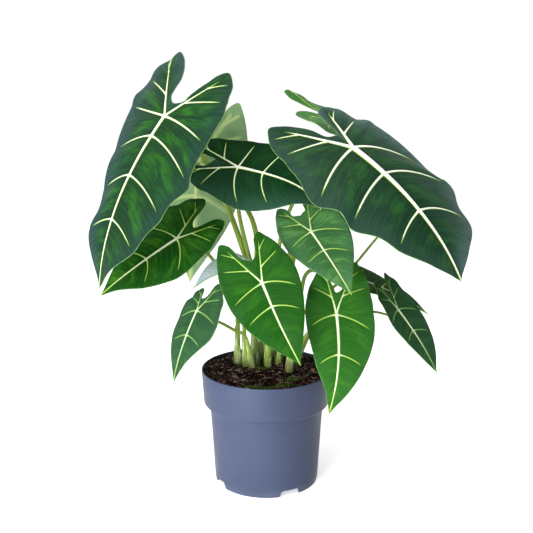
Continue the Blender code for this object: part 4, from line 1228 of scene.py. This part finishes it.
@dataclass
class VeinNet:
    """The raised veins of one blade.

    crown is a ridge's height beside its half width, flare how much wider a side vein begins, profile
    the faces over a ridge, and probe how far beside a vein the surface is read. A taper is the share of
    its width that a vein loses. lobe_veins gives for each side vein of a lobe its row after the root,
    its width beside the first side veins, and its reach.
    """

    surface: BladeSurface
    crown: float = 0.62
    least_crown: float = 0.35
    flare: float = 0.9
    flare_length: float = 2.2
    profile: int = 8
    probe: float = 0.06
    row_probe: float = 0.12
    sunk: float = 0.4
    under_width: float = 1.15
    midrib_points: int = 70
    midrib_taper: float = 0.80
    side_points: int = 30
    side_taper: float = 0.5
    side_reach: float = 0.87
    side_shrink: float = 0.12
    lobe_points: int = 46
    lobe_size: float = 0.72
    lobe_taper: float = 0.54
    lobe_reach: float = 4.9
    lobe_veins: tuple = ((2, 0.72, 0.84), (4, 0.50, 0.80))

    def __post_init__(self) -> None:
        """Lay the midrib, its side veins, and the ribs and side veins of the lobes."""
        surface = self.surface
        self.rib_half = surface.leaf.rib * (0.5 + 0.0105 * surface.length)
        self.side_half = (0.1 + 0.0062 * surface.length) * surface.leaf.rib ** 0.5
        self.lines = [self.midrib()]
        for k, row in enumerate(range(surface.junction, 2, -2)):
            size = 1.0 - self.side_shrink * k
            self.lines += [self.side_vein(side, row, size, self.side_reach) for side in SIDES]
        for side in SIDES:
            self.lines.append(self.lobe_rib(side))
            self.lines += [self.side_vein(side, surface.root + row, size, share)
                           for row, size, share in self.lobe_veins]

    def line(self, centre: np.ndarray, right: np.ndarray, left: np.ndarray, halves: np.ndarray,
             fade: np.ndarray) -> VeinLine:
        """A vein from its centre line and from points of the surface beside it.

        Args:
            centre: Points on the vein.
            right: Points of the surface on one side.
            left: Points of the surface on the other side.
            halves: Half width at each point.
            fade: How far the cream has faded at each point.

        Returns:
            The vein.
        """
        run = unit(np.gradient(centre, axis=0))
        sides = []
        for away in (right - centre, left - centre):
            sides.append(unit(away - np.sum(away * run, -1, keepdims=True) * run))
        normals = unit(np.cross(run, sides[1] - sides[0]))
        normals *= np.where(np.sum(normals * self.surface.turn[:, 2], -1, keepdims=True) < 0, -1, 1)
        return VeinLine(centre, sides[0], sides[1], normals, halves, fade)

    def midrib(self) -> VeinLine:
        """The midrib, from a little behind the junction to the tip."""
        surface, t = self.surface, np.linspace(0, 1, self.midrib_points)
        row = surface.junction - (surface.junction - 0.04) * t
        halves = self.rib_half * (1.0 - self.midrib_taper * t ** 1.15)
        right, left = (surface.points(side, row, self.probe) for side in SIDES)
        fade = 0.8 * np.clip(t - 0.55, 0, 1) / 0.45
        return self.line(surface.points(1, row, 0.0), right, left, halves, fade)

    def side_vein(self, side: int, row: int, size: float, share: float) -> VeinLine:
        """A vein that leaves a rib along a whole row.

        Args:
            side: Side of the blade.
            row: The row.
            size: Its width beside that of the first side veins.
            share: Share of the row that it runs.

        Returns:
            The vein.
        """
        surface, t = self.surface, np.linspace(0, 1, self.side_points)
        centre, first, second = (surface.points(side, float(row) + shift, share * t)
                                 for shift in (0.0, -self.row_probe, self.row_probe))
        halves = self.side_half * size * (1 - self.side_taper * t)
        halves = halves * (1 + self.flare * np.exp(-reach(centre) / self.flare_length))
        halves = halves * np.clip((1 - t) * 5, 0.12, 1) ** 0.7
        return self.line(centre, first, second, halves, 0.12 + 0.88 * t)

    def lobe_rib(self, side: int) -> VeinLine:
        """The rib of one back lobe.

        Args:
            side: Side of the blade.

        Returns:
            The rib.
        """
        surface, t = self.surface, np.linspace(0, 1, self.lobe_points)
        step = self.lobe_reach * t
        centre, outer = (surface.points(side, surface.root + step, share)
                         for share in (0.0, self.probe))
        inner = surface.points(side, surface.last - step, self.probe * 3)
        halves = self.rib_half * (self.lobe_size - self.lobe_taper * t ** 0.8)
        halves = halves * np.clip((1 - t) * 6, 0.15, 1)
        return self.line(centre, outer, inner, halves, 0.05 + 0.95 * t ** 1.4)

    def distance(self, points: np.ndarray) -> np.ndarray:
        """Distance from each point to the nearest vein's flank.

        Args:
            points: The points, one a row.

        Returns:
            The distances, below 0 under a vein.
        """
        nearest = np.full(len(points), 1e3)
        for vein in self.lines:
            for a, b, half in zip(vein.points[:-2:2], vein.points[2::2], vein.halves[1::2]):
                t = np.clip((points - a) @ (b - a) / max((b - a) @ (b - a), 1e-9), 0, 1)[:, None]
                nearest = np.minimum(nearest, np.linalg.norm(points - a - (b - a) * t, axis=1) - half)
        return nearest

    def ribbons(self, below: bool) -> Loft:
        """The veins as rounded ridges over or under the blade.

        Args:
            below: Whether they stand out of the underside.

        Returns:
            The ridges.
        """
        loft = Loft()
        angles = np.linspace(0, math.pi, self.profile + 1)
        sign, base, width = (-1.0, BLADE_THICKNESS, self.under_width) if below else (1.0, 0.0, 1.0)
        order = slice(None, None, -1 if below else 1)
        inward = np.concatenate([1 - np.abs(np.cos(angles)), [0, 0]])[order]
        for vein in self.lines:
            rings = []
            halves = vein.halves * width
            for centre, right, left, normal, half in zip(vein.points, vein.right, vein.left,
                                                         vein.normals, halves):
                across = half * np.cos(angles)
                high = np.maximum(self.crown * half, self.least_crown) * np.sin(angles)
                rim = centre + np.where(across[:, None] > 0, left, -right) * across[:, None]
                ridge = rim + normal * (sign * (base + high))[:, None]
                foot = rim[[-1, 0]] + normal * sign * (base - self.sunk)
                rings.append(np.vstack([ridge, foot])[order])
            loft.add(np.array(rings), {"rim": vein.halves[:, None] * inward,
                                       "fade": np.tile(vein.fade[:, None], (1, len(inward)))})
        return loft


@dataclass
class LeafBuilder:
    """Builds the blade, the veins, the stalk and the sheath of one leaf.

    The stalk stands upright from foot_z to straight_z, slims up to slim_z, has shallow flutes and
    swells at its top. The sheath clasps the stalk at its foot and opens upwards: sheath_opening is its
    angle on either side of its back at its tip, and how much is added to that at its foot. sheath_gap
    is its distance from the stalk, sheath_flare what is added to that at its foot, and sheath_lip how
    far its edges stand off.
    """

    leaf: Leaf
    stalk_sides: int = 18
    stalk_rings: int = 72
    foot_z: float = 137.0
    straight_z: float = 156.0
    slim_z: float = 185.0
    taper: float = 0.28
    sheath_taper: float = 0.26
    flutes: int = 5
    flute_depth: float = 0.035
    swelling: float = 0.35
    swelling_length: float = 5.0
    sheath_sides: int = 19
    sheath_rings: int = 34
    sheath_foot: float = 6.0
    sheath_wall: float = 0.6
    sheath_gap: float = 0.35
    sheath_flare: float = 0.9
    sheath_opening: Pair = (12.0, 165.0)
    sheath_lip: float = 0.22
    column_shift: float = 400.0

    def __post_init__(self) -> None:
        """Lay the surface, the veins and the stalk's line."""
        self.surface = BladeSurface(self.leaf)
        self.net = VeinNet(self.surface)
        self.path, self.headings = self.lay_stalk()

    def build_blade(self) -> Object:
        """The blade, with an upper side, an underside and a margin."""
        surface, leaf, loft = self.surface, self.leaf, Loft()
        rows = surface.row_steps()
        widest = max(leaf.right + leaf.left) * HALF_BLADE * surface.length
        columns = np.linspace(0, 1, max(8, int(widest / MESH_STEP)) + 1)
        row, share = (part.ravel() for part in np.meshgrid(rows, columns, indexing="ij"))
        for side in SIDES:
            points = surface.points(side, row, share)
            grid = points.reshape(len(rows), len(columns), 3)
            outward = np.linalg.norm(grid - grid[:, :1], axis=-1).ravel()
            along = reach(grid[:, len(columns) * 2 // 3]) + self.column_shift * side
            numbers = {"margin": np.linalg.norm(grid - grid[:, -1:], axis=-1),
                       "panel": surface.puff(side, row) * np.sin(math.pi * share),
                       # Strength of the painted sheen, growing towards the margin.
                       "painted_sheen": leaf.painted_sheen[side > 0] * share ** 1.2,
                       "vein": self.net.distance(points)}
            chart = np.stack([np.repeat(along, len(columns)), outward], -1)
            loft.add(grid, numbers, {"rows": chart}, closed=False, flipped=side > 0)
        blade = loft.build(f"{leaf.name}_lamina", leaf.tone.lamina.material(), UNDERSIDE.material(),
                           MARGIN.material())
        join_close_points(blade)
        thicken(blade, BLADE_THICKNESS, material_offset=1, material_offset_rim=2)
        return blade

    def lay_stalk(self) -> tuple[np.ndarray, np.ndarray]:
        """Centre line of the stalk and its heading at each point."""
        leaf, surface = self.leaf, self.surface
        joint = surface.points(1, float(surface.junction), 0.0)[0]
        normal = self.net.lines[0].normals[0]
        (foot_x, foot_y), *route = leaf.stalk
        end = joint - normal * (BLADE_THICKNESS + 0.2)
        hang, drop = leaf.crook[0] * surface.length, leaf.crook[1] * surface.length
        crook = joint - normal * hang - np.array([0, 0, drop])
        upper = smooth_path([(foot_x, foot_y, self.straight_z), *route, crook, end], self.stalk_rings)
        lower = [[foot_x, foot_y, z] for z in (self.foot_z, (self.foot_z + self.straight_z) / 2)]
        path = np.vstack([lower, upper])
        headings = np.gradient(path, axis=0)
        headings[:3] = UP
        headings[-1] = normal
        return path, unit(headings)

    def foot_radius(self, z: float, taper: float) -> float:
        """Radius of the stalk's foot at a height, where it loses a share by slim_z."""
        slim = clamp((z - self.straight_z) / (self.slim_z - self.straight_z))
        return self.leaf.stalk_radii[0] * (1 - taper * slim)

    def build_stalk(self) -> Object:
        """The stalk, which swells where it meets the blade."""
        angles, side = circle(self.stalk_sides), np.array([1.0, 0.0, 0.0])
        lengths = reach(self.path)
        rings, chart = [], []
        shares = np.linspace(0, 1, len(lengths))
        for centre, heading, length, share in zip(self.path, self.headings, lengths, shares):
            side = unit(side - side @ heading * heading)
            other = np.cross(heading, side)
            foot = self.foot_radius(centre[2], self.taper)
            radius = foot + (self.leaf.stalk_radii[1] - foot) * share ** 1.2
            radius *= 1 + self.swelling * math.exp(-(lengths[-1] - length) / self.swelling_length)
            fluted = radius * (1 + self.flute_depth * np.cos(self.flutes * angles + 0.4))
            rings.append(centre + (np.outer(np.cos(angles), side) + np.outer(np.sin(angles), other))
                         * fluted[:, None])
            chart.append(np.stack([angles / (2 * math.pi), np.full(len(angles), length)], -1))
        loft = Loft()
        loft.add(np.array(rings), None, {"round": np.array(chart)})
        return loft.build(f"{self.leaf.name}_petiole", STALK.material())

    def build_sheath(self) -> Object:
        """The clasping sheath at the foot of the stalk, which narrows to a point."""
        low, high = self.foot_z + self.sheath_foot, self.straight_z + self.leaf.sheath
        fan = np.linspace(-1, 1, self.sheath_sides)
        rings, chart = [], []
        for z in np.linspace(low, high, self.sheath_rings):
            share = (z - low) / (high - low)
            centre = np.array([np.interp(z, self.path[:, 2], self.path[:, k]) for k in range(3)])
            radius = self.foot_radius(z, self.sheath_taper) + self.sheath_flare * (1 - share) ** 0.7
            opening = self.sheath_opening[1] * (1 - share ** 1.6) + self.sheath_opening[0]
            angles = math.radians(self.leaf.sheath_turn) + math.radians(opening) * fan
            lip = (radius + self.sheath_gap) * (1 + self.sheath_lip * (1 - share) * np.abs(fan) ** 5)
            rings.append(centre + ring_points(lip, angles, 0.0))
            chart.append(np.stack([angles / (2 * math.pi), np.full(len(fan), z)], -1))
        loft = Loft()
        loft.add(np.array(rings), None, {"round": np.array(chart)}, closed=False)
        sheath = loft.build(f"{self.leaf.name}_sheath", SHEATH.material())
        thicken(sheath, self.sheath_wall)
        return sheath

    def build(self) -> None:
        """Build the leaf's pieces and tie them to the frame."""
        name = self.leaf.name
        over = self.net.ribbons(False).build(f"{name}_ribs", self.leaf.tone.vein.material())
        under = self.net.ribbons(True).build(f"{name}_under_ribs", UNDER_VEIN.material())
        green = "blade_green_bright" if self.leaf.bright else "blade_green_dark"
        register(self.build_blade(), green, f"{name}_blade")
        register(over, "vein_cream", f"{name}_veins")
        register(under, "vein_cream")
        register(self.build_stalk(), "stalk_green", f"{name}_stalk")
        register(self.build_sheath(), "stalk_green")


@dataclass
class NurseryPot:
    """Round moulded pot: tapered wall, wide band, raised floor, notched foot."""

    height: float = 152.6
    foot_radius: float = 67.2
    wall_top_radius: float = 74.5
    band_foot_radius: float = 82.3
    band_top_radius: float = 85.0
    band_z: float = 107.0
    band_corner: float = 3.6
    wall: float = 1.8
    groove: float = 0.8
    floor_z: float = 9.4
    floor: float = 2.0
    hub_radius: float = 16.0
    segments: int = 160
    notch_angles: tuple[float, ...] = (-63.5, 26.5, 116.5, 206.5)
    notch_width: float = 27.0
    notch_height: float = 8.6
    notch_corner: float = 3.2
    notch_depth: float = 9.0
    drain_radius: float = 6.0
    drain_circle: float = 48.0
    sharp_angle: float = 38.0
    finish: PotFinish = PotFinish()

    def profile(self) -> list[Pair]:
        """Outline of half the pot, from its axis round the outside to its axis again."""
        foot, top, wall, band_z = self.foot_radius, self.wall_top_radius, self.wall, self.band_z
        skirt, lip, floor_top = foot - wall, wall / 2, self.floor_z + self.floor
        corner = self.band_corner
        return [(0.0, 0.0), (self.hub_radius - 0.5, 0.0), (self.hub_radius, 0.5),
                (self.hub_radius + 0.5, self.floor_z), (skirt + 0.2, self.floor_z), (skirt, 0.6),
                (skirt + 0.4, 0.0), *arc((foot - 1.0, 1.2), 1.2, -90, 0, 5),
                (foot + 0.9, 4.0), (foot + 1.5, 12.0), (top - 2.2, 76.0), (top - 0.1, band_z - 2.6),
                (top - self.groove, band_z - 2.2), (top - self.groove, band_z - 1.0),
                (top + 0.6, band_z - 0.5),
                *arc((self.band_foot_radius - corner, band_z + corner - 0.3), corner, -88, 0, 9),
                ((self.band_foot_radius + self.band_top_radius) / 2, (band_z + self.height) / 2),
                *arc((self.band_top_radius - lip, self.height - lip), lip, 4, 180, 10),
                (self.band_top_radius - wall - 0.2, self.height - 3.0),
                (self.band_foot_radius - wall, band_z + 4.0), (top - wall, band_z + 0.5),
                (foot + 1.0 - wall, floor_top + 1.0), (foot - wall, floor_top), (0.0, floor_top)]

    def turned(self, material: Material) -> Object:
        """The pot without its openings.

        Args:
            material: Its material.

        Returns:
            The pot.
        """
        (_, low), *rings, (_, high) = self.profile()
        angles = circle(self.segments)
        points = np.vstack([(0.0, 0.0, low), *(ring_points(radius, angles, z) for radius, z in rings),
                            (0.0, 0.0, high)])
        return add_mesh("pot_body", points, ring_faces(self.segments, len(rings)), [material])

    def prism(self, outline: list, low: float, high: float, axes: np.ndarray,
              centre: np.ndarray) -> Object:
        """A straight cutter over a flat outline.

        Args:
            outline: Points across and up.
            low: Start along the way out.
            high: End along the way out.
            axes: Directions across, up and out, one a row.
            centre: Where the outline's origin lies.

        Returns:
            The cutter.
        """
        count = len(outline)
        points = [centre + np.array([x, y, z]) @ axes for z in (low, high) for x, y in outline]
        faces = [tuple(range(count - 1, -1, -1)), tuple(range(count, 2 * count))]
        faces += [(k, (k + 1) % count, (k + 1) % count + count, k + count) for k in range(count)]
        return add_mesh("cutter", np.array(points), faces, [], smooth=False)

    def cutters(self) -> list[Object]:
        """Bodies that cut the notches of the foot and the drain holes."""
        made = []
        half, top, corner = self.notch_width / 2, self.notch_height, self.notch_corner
        outline = [(-half - 1.5, -2.0), (half + 1.5, -2.0)]
        outline += arc((half - 1.0 - corner, top - corner), corner, 10, 90, 6)
        outline += arc((-half + 1.0 + corner, top - corner), corner, 90, 170, 6)
        drain = arc((0.0, 0.0), self.drain_radius, 0, 345, 24)
        near, far = self.foot_radius - self.notch_depth, self.foot_radius + self.notch_depth
        under, over = self.floor_z - 3, self.floor_z + self.floor + 3
        for degrees in self.notch_angles:
            turn = math.radians(degrees - 90)
            out = (math.cos(turn), math.sin(turn), 0.0)
            across = (-math.sin(turn), math.cos(turn), 0.0)
            made.append(self.prism(outline, near, far, np.array([across, UP, out]), np.zeros(3)))
            turn += math.pi / 4
            centre = self.drain_circle * np.array([math.cos(turn), math.sin(turn), 0.0])
            made.append(self.prism(drain, under, over, np.eye(3), centre))
        return made

    def build(self) -> None:
        """Build the pot and tie it to the frame."""
        pot, cutters = self.turned(self.finish.material()), self.cutters()
        for number, cutter in enumerate(cutters):
            boolean = pot.modifiers.new(f"opening_{number}", "BOOLEAN")
            boolean.operation = "DIFFERENCE"
            boolean.solver = "EXACT"
            boolean.object = cutter
        bpy.context.view_layer.update()
        cut = bpy.data.meshes.new_from_object(pot.evaluated_get(bpy.context.evaluated_depsgraph_get()))
        pot.modifiers.clear()
        pot.data = cut
        for cutter in cutters:
            bpy.data.objects.remove(cutter)
        pot.data.shade_smooth()
        pot.data.set_sharp_from_angle(angle=math.radians(self.sharp_angle))
        register(pot, "pot_plastic", "pot")


@dataclass
class PottingMix:
    """Peat and coir that fills the pot, with bark chips, fibres, moss and a twig on top.

    The top domes, heaps up at the back left and has waves, each finer and lower than the last. crumble
    is how far its points are shaken sideways and upwards, and clearance is the gap to the pot's wall. A
    tuft spot is a place with its spread to the sides and to the back, and a twig a place with its
    length and radius.
    """

    pot: NurseryPot
    edge_z: float = 147.0
    dome: float = 2.0
    heap: float = 3.2
    wave_count: int = 26
    wave_height: float = 0.75
    wave_fade: float = 0.85
    wave_pace: float = 0.05
    wave_growth: float = 1.13
    crumble: Pair = (0.25, 0.32)
    clearance: float = 0.4
    sides: int = 132
    step: float = 1.5
    chips: int = 2600
    fibres: int = 420
    tufts: int = 260
    seed: int = 11
    tuft_spots: tuple = (((-18.0, -66.0), 11.0, 4.0), ((-2.0, -69.0), 10.0, 3.4),
                         ((20.0, -60.0), 12.0, 4.0), ((-6.0, 0.0), 6.0, 4.5),
                         ((34.0, -40.0), 11.0, 5.0))
    tuft_strands: int = 5
    twigs: tuple = (((-14.0, -42.0), 14.0, 0.5), ((-10.0, -45.0), 8.0, 0.35),
                    ((-36.0, -30.0), 15.0, 0.35), ((-42.0, -18.0), 12.0, 0.3),
                    ((26.0, -50.0), 13.0, 0.35), ((-24.0, -20.0), 12.0, 0.35))
    peat: CrumbFinish = CrumbFinish("peat", srgb(1, 1, 1), srgb(8, 5, 5), srgb(34, 23, 20))
    bark: CrumbFinish = CrumbFinish("bark_chips", srgb(2, 1, 1), srgb(124, 84, 76),
                                    srgb(150, 124, 112), 0.35, 0.75)
    coir: CrumbFinish = CrumbFinish("coir_fibres", srgb(60, 40, 34), srgb(204, 170, 154),
                                    srgb(216, 196, 176), 0.3, 0.7)
    moss: CrumbFinish = CrumbFinish("moss", srgb(16, 34, 10), srgb(96, 128, 48),
                                    srgb(130, 150, 78), 0.3, 0.8)
    twig: CrumbFinish = CrumbFinish("pale_twig", srgb(110, 96, 76), srgb(190, 172, 146),
                                    srgb(140, 116, 92), 0.4, 0.65)

    def __post_init__(self) -> None:
        """Start the seeded draws and place the waves of the top."""
        self.draw = np.random.default_rng(self.seed)
        self.radius = self.pot.band_top_radius - self.pot.wall - 0.8
        self.waves = self.draw.uniform(-1, 1, (self.wave_count, 4))

    def top(self, x: np.ndarray, y: np.ndarray) -> np.ndarray:
        """Height of the mix's top.

        Args:
            x: Places to the right.
            y: Places to the back.

        Returns:
            The height at each place.
        """
        rough = np.zeros_like(x, dtype=float)
        for k, (a, b, c, d) in enumerate(self.waves):
            pace = self.wave_pace * (self.wave_growth ** k)
            along, across = pace * (a * x + b * y) * 2 + 6 * c, pace * (b * x - a * y) * 2 + 6 * d
            rough += (self.wave_fade ** k) * np.sin(along) * np.cos(across)
        inner = 1 - (x * x + y * y) / self.radius ** 2
        heap = self.heap * np.clip(0.25 + (0.87 * y - 0.5 * x) / self.radius, 0, 1)
        return self.edge_z + self.dome * np.clip(inner, 0, 1) + heap + self.wave_height * rough

    def build_bed(self) -> Object:
        """The body of the mix, from the pot's floor to its rough top."""
        pot, angles = self.pot, circle(self.sides)
        radii = np.arange(self.step, self.radius, self.step)
        grid = [np.zeros((1, 3))]
        for radius in radii:
            shake = self.draw.normal(0, self.crumble[0], (self.sides, 2))
            grid.append(ring_points(radius, angles, 0.0) + np.pad(shake, ((0, 0), (0, 1))))
        grid.append(ring_points(self.radius, angles, 0.0))
        points = np.vstack(grid)
        crumbs = self.draw.normal(0, self.crumble[1], len(points))
        points[:, 2] = self.top(points[:, 0], points[:, 1]) + crumbs
        gap = pot.wall + self.clearance
        walls = [(pot.band_foot_radius - gap, pot.band_z + 4.0),
                 (pot.wall_top_radius - gap, pot.band_z + 0.5),
                 (pot.foot_radius + 1.0 - gap, pot.floor_z + pot.floor + self.clearance)]
        points = np.vstack([points, *(ring_points(radius, angles, z) for radius, z in walls),
                            (0.0, 0.0, walls[-1][1])])
        faces = ring_faces(self.sides, len(radii) + 1 + len(walls), flipped=True)
        tint = {"tint": np.clip(self.draw.normal(0.35, 0.3, len(points)), 0, 1)}
        return add_mesh("mix_bed", points, faces, [self.peat.material()], tint)

    def scatter(self, within: float) -> Pair:
        """A random place on the mix.

        Args:
            within: Its greatest distance from the axis.

        Returns:
            The place.
        """
        radius = within * math.sqrt(self.draw.uniform(0, 1))
        angle = self.draw.uniform(0, 2 * math.pi)
        return radius * math.cos(angle), radius * math.sin(angle)

    def strand(self, loft: Loft, start: Pair, length: float, radius: float, lift: float, rise: float,
               sides: int = 5) -> None:
        """Lay a thin bent strand over the mix.

        Args:
            loft: Where it is added.
            start: Where its middle lies.
            length: Its length.
            radius: Its radius.
            lift: Height of its line over the mix.
            rise: How far an end lifts.
            sides: Points round it.
        """
        heading = self.draw.uniform(0, 2 * math.pi)
        bend = self.draw.uniform(-1.4, 1.4)
        t = np.linspace(-0.5, 0.5, 7)
        turn = heading + bend * t
        x = start[0] + length * t * np.cos(turn)
        y = start[1] + length * t * np.sin(turn)
        shrink = np.minimum(1.0, (self.radius - 1.0) / np.maximum(np.hypot(x, y), TINY))
        x, y = x * shrink, y * shrink
        z = self.top(x, y) + lift + rise * np.clip(t, 0, 1) ** 2 * 4
        path = np.stack([x, y, z], -1)
        run = unit(np.gradient(path, axis=0))
        side = unit(np.cross(run, UP))
        other = np.cross(side, run)
        angles = circle(sides)[:, None]
        cos, sin = np.cos(angles), np.sin(angles)
        thick = radius * (1 - 0.75 * np.abs(2 * t) ** 3)
        rings = path[:, None] + thick[:, None, None] * (cos * side[:, None] + sin * other[:, None])
        loft.add(rings, {"tint": np.full(rings.shape[:2], self.draw.uniform(0, 1))})

    def build_chips(self) -> Object:
        """Flat broken chips of bark and peat."""
        loft, uniform = Loft(), self.draw.uniform
        for _ in range(self.chips):
            x, y = self.scatter(self.radius - 2.2)
            length = self.draw.gamma(4.0, 0.75) + 0.8
            width = length * uniform(0.25, 0.75)
            thick = uniform(0.3, 0.9)
            turn, tip_a, tip_b = uniform(0, 2 * math.pi), *self.draw.normal(0, 0.45, 2)
            along = np.array([math.cos(turn) * math.cos(tip_a), math.sin(turn) * math.cos(tip_a),
                              math.sin(tip_a)])
            across = unit(np.cross([math.sin(tip_b), 0, math.cos(tip_b)], along))
            up = np.cross(along, across)
            centre = np.array([x, y, self.top(np.array([x]), np.array([y]))[0] + uniform(-0.2, 0.9)])
            rings = []
            for t in (-0.5, -0.2, 0.25, 0.5):
                size = (1 - (2 * abs(t)) ** 3 * 0.6) * uniform(0.8, 1.15)
                corners = np.array([(-1, -1), (1, -1), (0.9, 1), (-0.9, 1)]) * uniform(0.8, 1.1, (4, 1))
                rings.append([centre + along * length * t + across * a * width / 2 * size
                              + up * b * thick / 2 for a, b in corners])
            loft.add(np.array(rings), {"tint": np.full((4, 4), self.draw.beta(0.45, 3.2))})
        return loft.build("mix_chips", self.bark.material(), smooth=False)

    def build_fibres(self) -> Object:
        """Thin curved fibres of coir."""
        loft, uniform = Loft(), self.draw.uniform
        for _ in range(self.fibres):
            self.strand(loft, self.scatter(self.radius - 4), uniform(5, 15), uniform(0.16, 0.42),
                        uniform(0.5, 1.5), max(0.0, self.draw.normal(0.6, 1.2)))
        return loft.build("mix_fibres", self.coir.material())

    def build_moss(self) -> Object:
        """Tufts of moss at the front edge of the mix and between the stalks."""
        loft, normal, uniform = Loft(), self.draw.normal, self.draw.uniform
        for number in range(self.tufts):
            (x, y), wide, deep = self.tuft_spots[number % len(self.tuft_spots)]
            x, y = x + normal(0, wide * 0.5), y + normal(0, deep * 0.5)
            if math.hypot(x, y) > self.radius - 1.5:
                continue
            for _ in range(self.tuft_strands):
                self.strand(loft, (x + normal(0, 0.8), y + normal(0, 0.8)), uniform(1.6, 3.4), 0.34,
                            uniform(0.9, 1.7), uniform(0.3, 1.8), 4)
        return loft.build("mix_moss", self.moss.material())

    def build_twigs(self) -> Object:
        """A pale forked twig and some longer splinters."""
        loft = Loft()
        for start, length, radius in self.twigs:
            self.strand(loft, start, length, radius, 0.4, 0.8, 8)
        return loft.build("mix_twigs", self.twig.material())

    def build(self) -> None:
        """Build the mix's pieces and tie them to the frame."""
        register(self.build_bed(), "potting_mix", "potting_mix")
        for piece in (self.build_chips(), self.build_fibres(), self.build_moss(), self.build_twigs()):
            register(piece, "potting_mix")


@dataclass(frozen=True)
class Lamp:
    """Square soft light. Lengths are in metres, its power in watts and its spread in degrees."""

    name: str
    place: Point
    size: float
    power: float
    aim: Point = (0.0, 0.0, 0.28)
    spread: float = 180.0

    def build(self) -> None:
        """Add the light to the scene."""
        data = bpy.data.lights.new(self.name, "AREA")
        data.size, data.energy, data.spread = self.size, self.power, math.radians(self.spread)
        lamp = place_object(self.name, data)
        lamp.location = self.place
        back = unit(np.array(self.place) - np.array(self.aim))
        lamp.rotation_euler = (math.acos(back[2]), 0.0, math.atan2(back[0], -back[1]))


@dataclass
class Studio:
    """Pale floor, soft lights, and a camera at the photograph's angle. Lengths are in metres.

    The sky is dim over the horizon towards dim_side. side_range and height_range are the ranges over
    which it dims, read along dim_side and upwards.
    """

    camera_place: Point = (0.0, -1.125, 0.534)
    camera_pitch: float = 12.34
    camera_lens: float = 60.8
    camera_sensor: float = 36.0
    floor_size: float = 8.0
    floor_finish: PaperFinish = PaperFinish()
    sky: float = 1.03
    dim_sky: float = 0.05
    dim_side: Point = (0.62, -0.78, 0.10)
    side_range: Pair = (-0.4, 0.5)
    height_range: Pair = (0.13, 0.3)
    lamps: tuple[Lamp, ...] = (
        Lamp("key_light", (-0.9, -1.6, 0.75), 1.1, 44.0),
        Lamp("top_light", (0.2, -0.6, 1.9), 1.2, 22.0),
        Lamp("pot_light", (-0.46, -0.84, 0.10), 0.22, 0.36, (-0.03, 0.0, 0.07), 24.0))

    def add_sky(self) -> None:
        """White surroundings, dimmer towards the right of the front."""
        world = bpy.data.worlds.new("studio_sky")
        graph = Graph(world)
        where = graph.node("TexCoord", {}).outputs["Generated"]
        facing, height = (graph.node("VectorMath", {0: where, 1: way}, operation="DOT_PRODUCT")
                          .outputs["Value"] for way in (self.dim_side, UP))
        dimmed = graph.span(facing, *self.side_range, self.sky, self.dim_sky)
        background = graph.tree.nodes["Background"].inputs
        graph.feed(background["Color"], WHITE)
        graph.feed(background["Strength"], graph.span(height, *self.height_range, self.sky, dimmed))
        bpy.context.scene.world = world

    def add_camera(self) -> None:
        """A camera where the photograph's camera stood."""
        data = bpy.data.cameras.new("studio_camera")
        data.lens, data.sensor_width = self.camera_lens, self.camera_sensor
        camera = place_object("studio_camera", data)
        camera.location = self.camera_place
        camera.rotation_euler = (math.radians(90 - self.camera_pitch), 0.0, 0.0)
        bpy.context.scene.camera = camera

    def build(self) -> None:
        """Build the floor, the sky, the lights and the camera."""
        corners = np.array([(-1, -1, 0), (1, -1, 0), (1, 1, 0), (-1, 1, 0)]) * self.floor_size / 2 / MM
        floor = add_mesh("studio_floor", corners, [(0, 1, 2, 3)], [self.floor_finish.material()])
        self.add_sky()
        for lamp in self.lamps:
            lamp.build()
        bpy.context.scene.view_settings.view_transform = "Standard"
        self.add_camera()


def main() -> None:
    """Build the studio, the pot, the mix and the leaves."""
    logging.basicConfig(level=logging.INFO, format="%(name)s: %(message)s")
    Studio().build()
    pot = NurseryPot()
    pot.build()
    PottingMix(pot).build()
    for leaf in LEAVES:
        LeafBuilder(leaf).build()


if __name__ == "__main__":
    main()
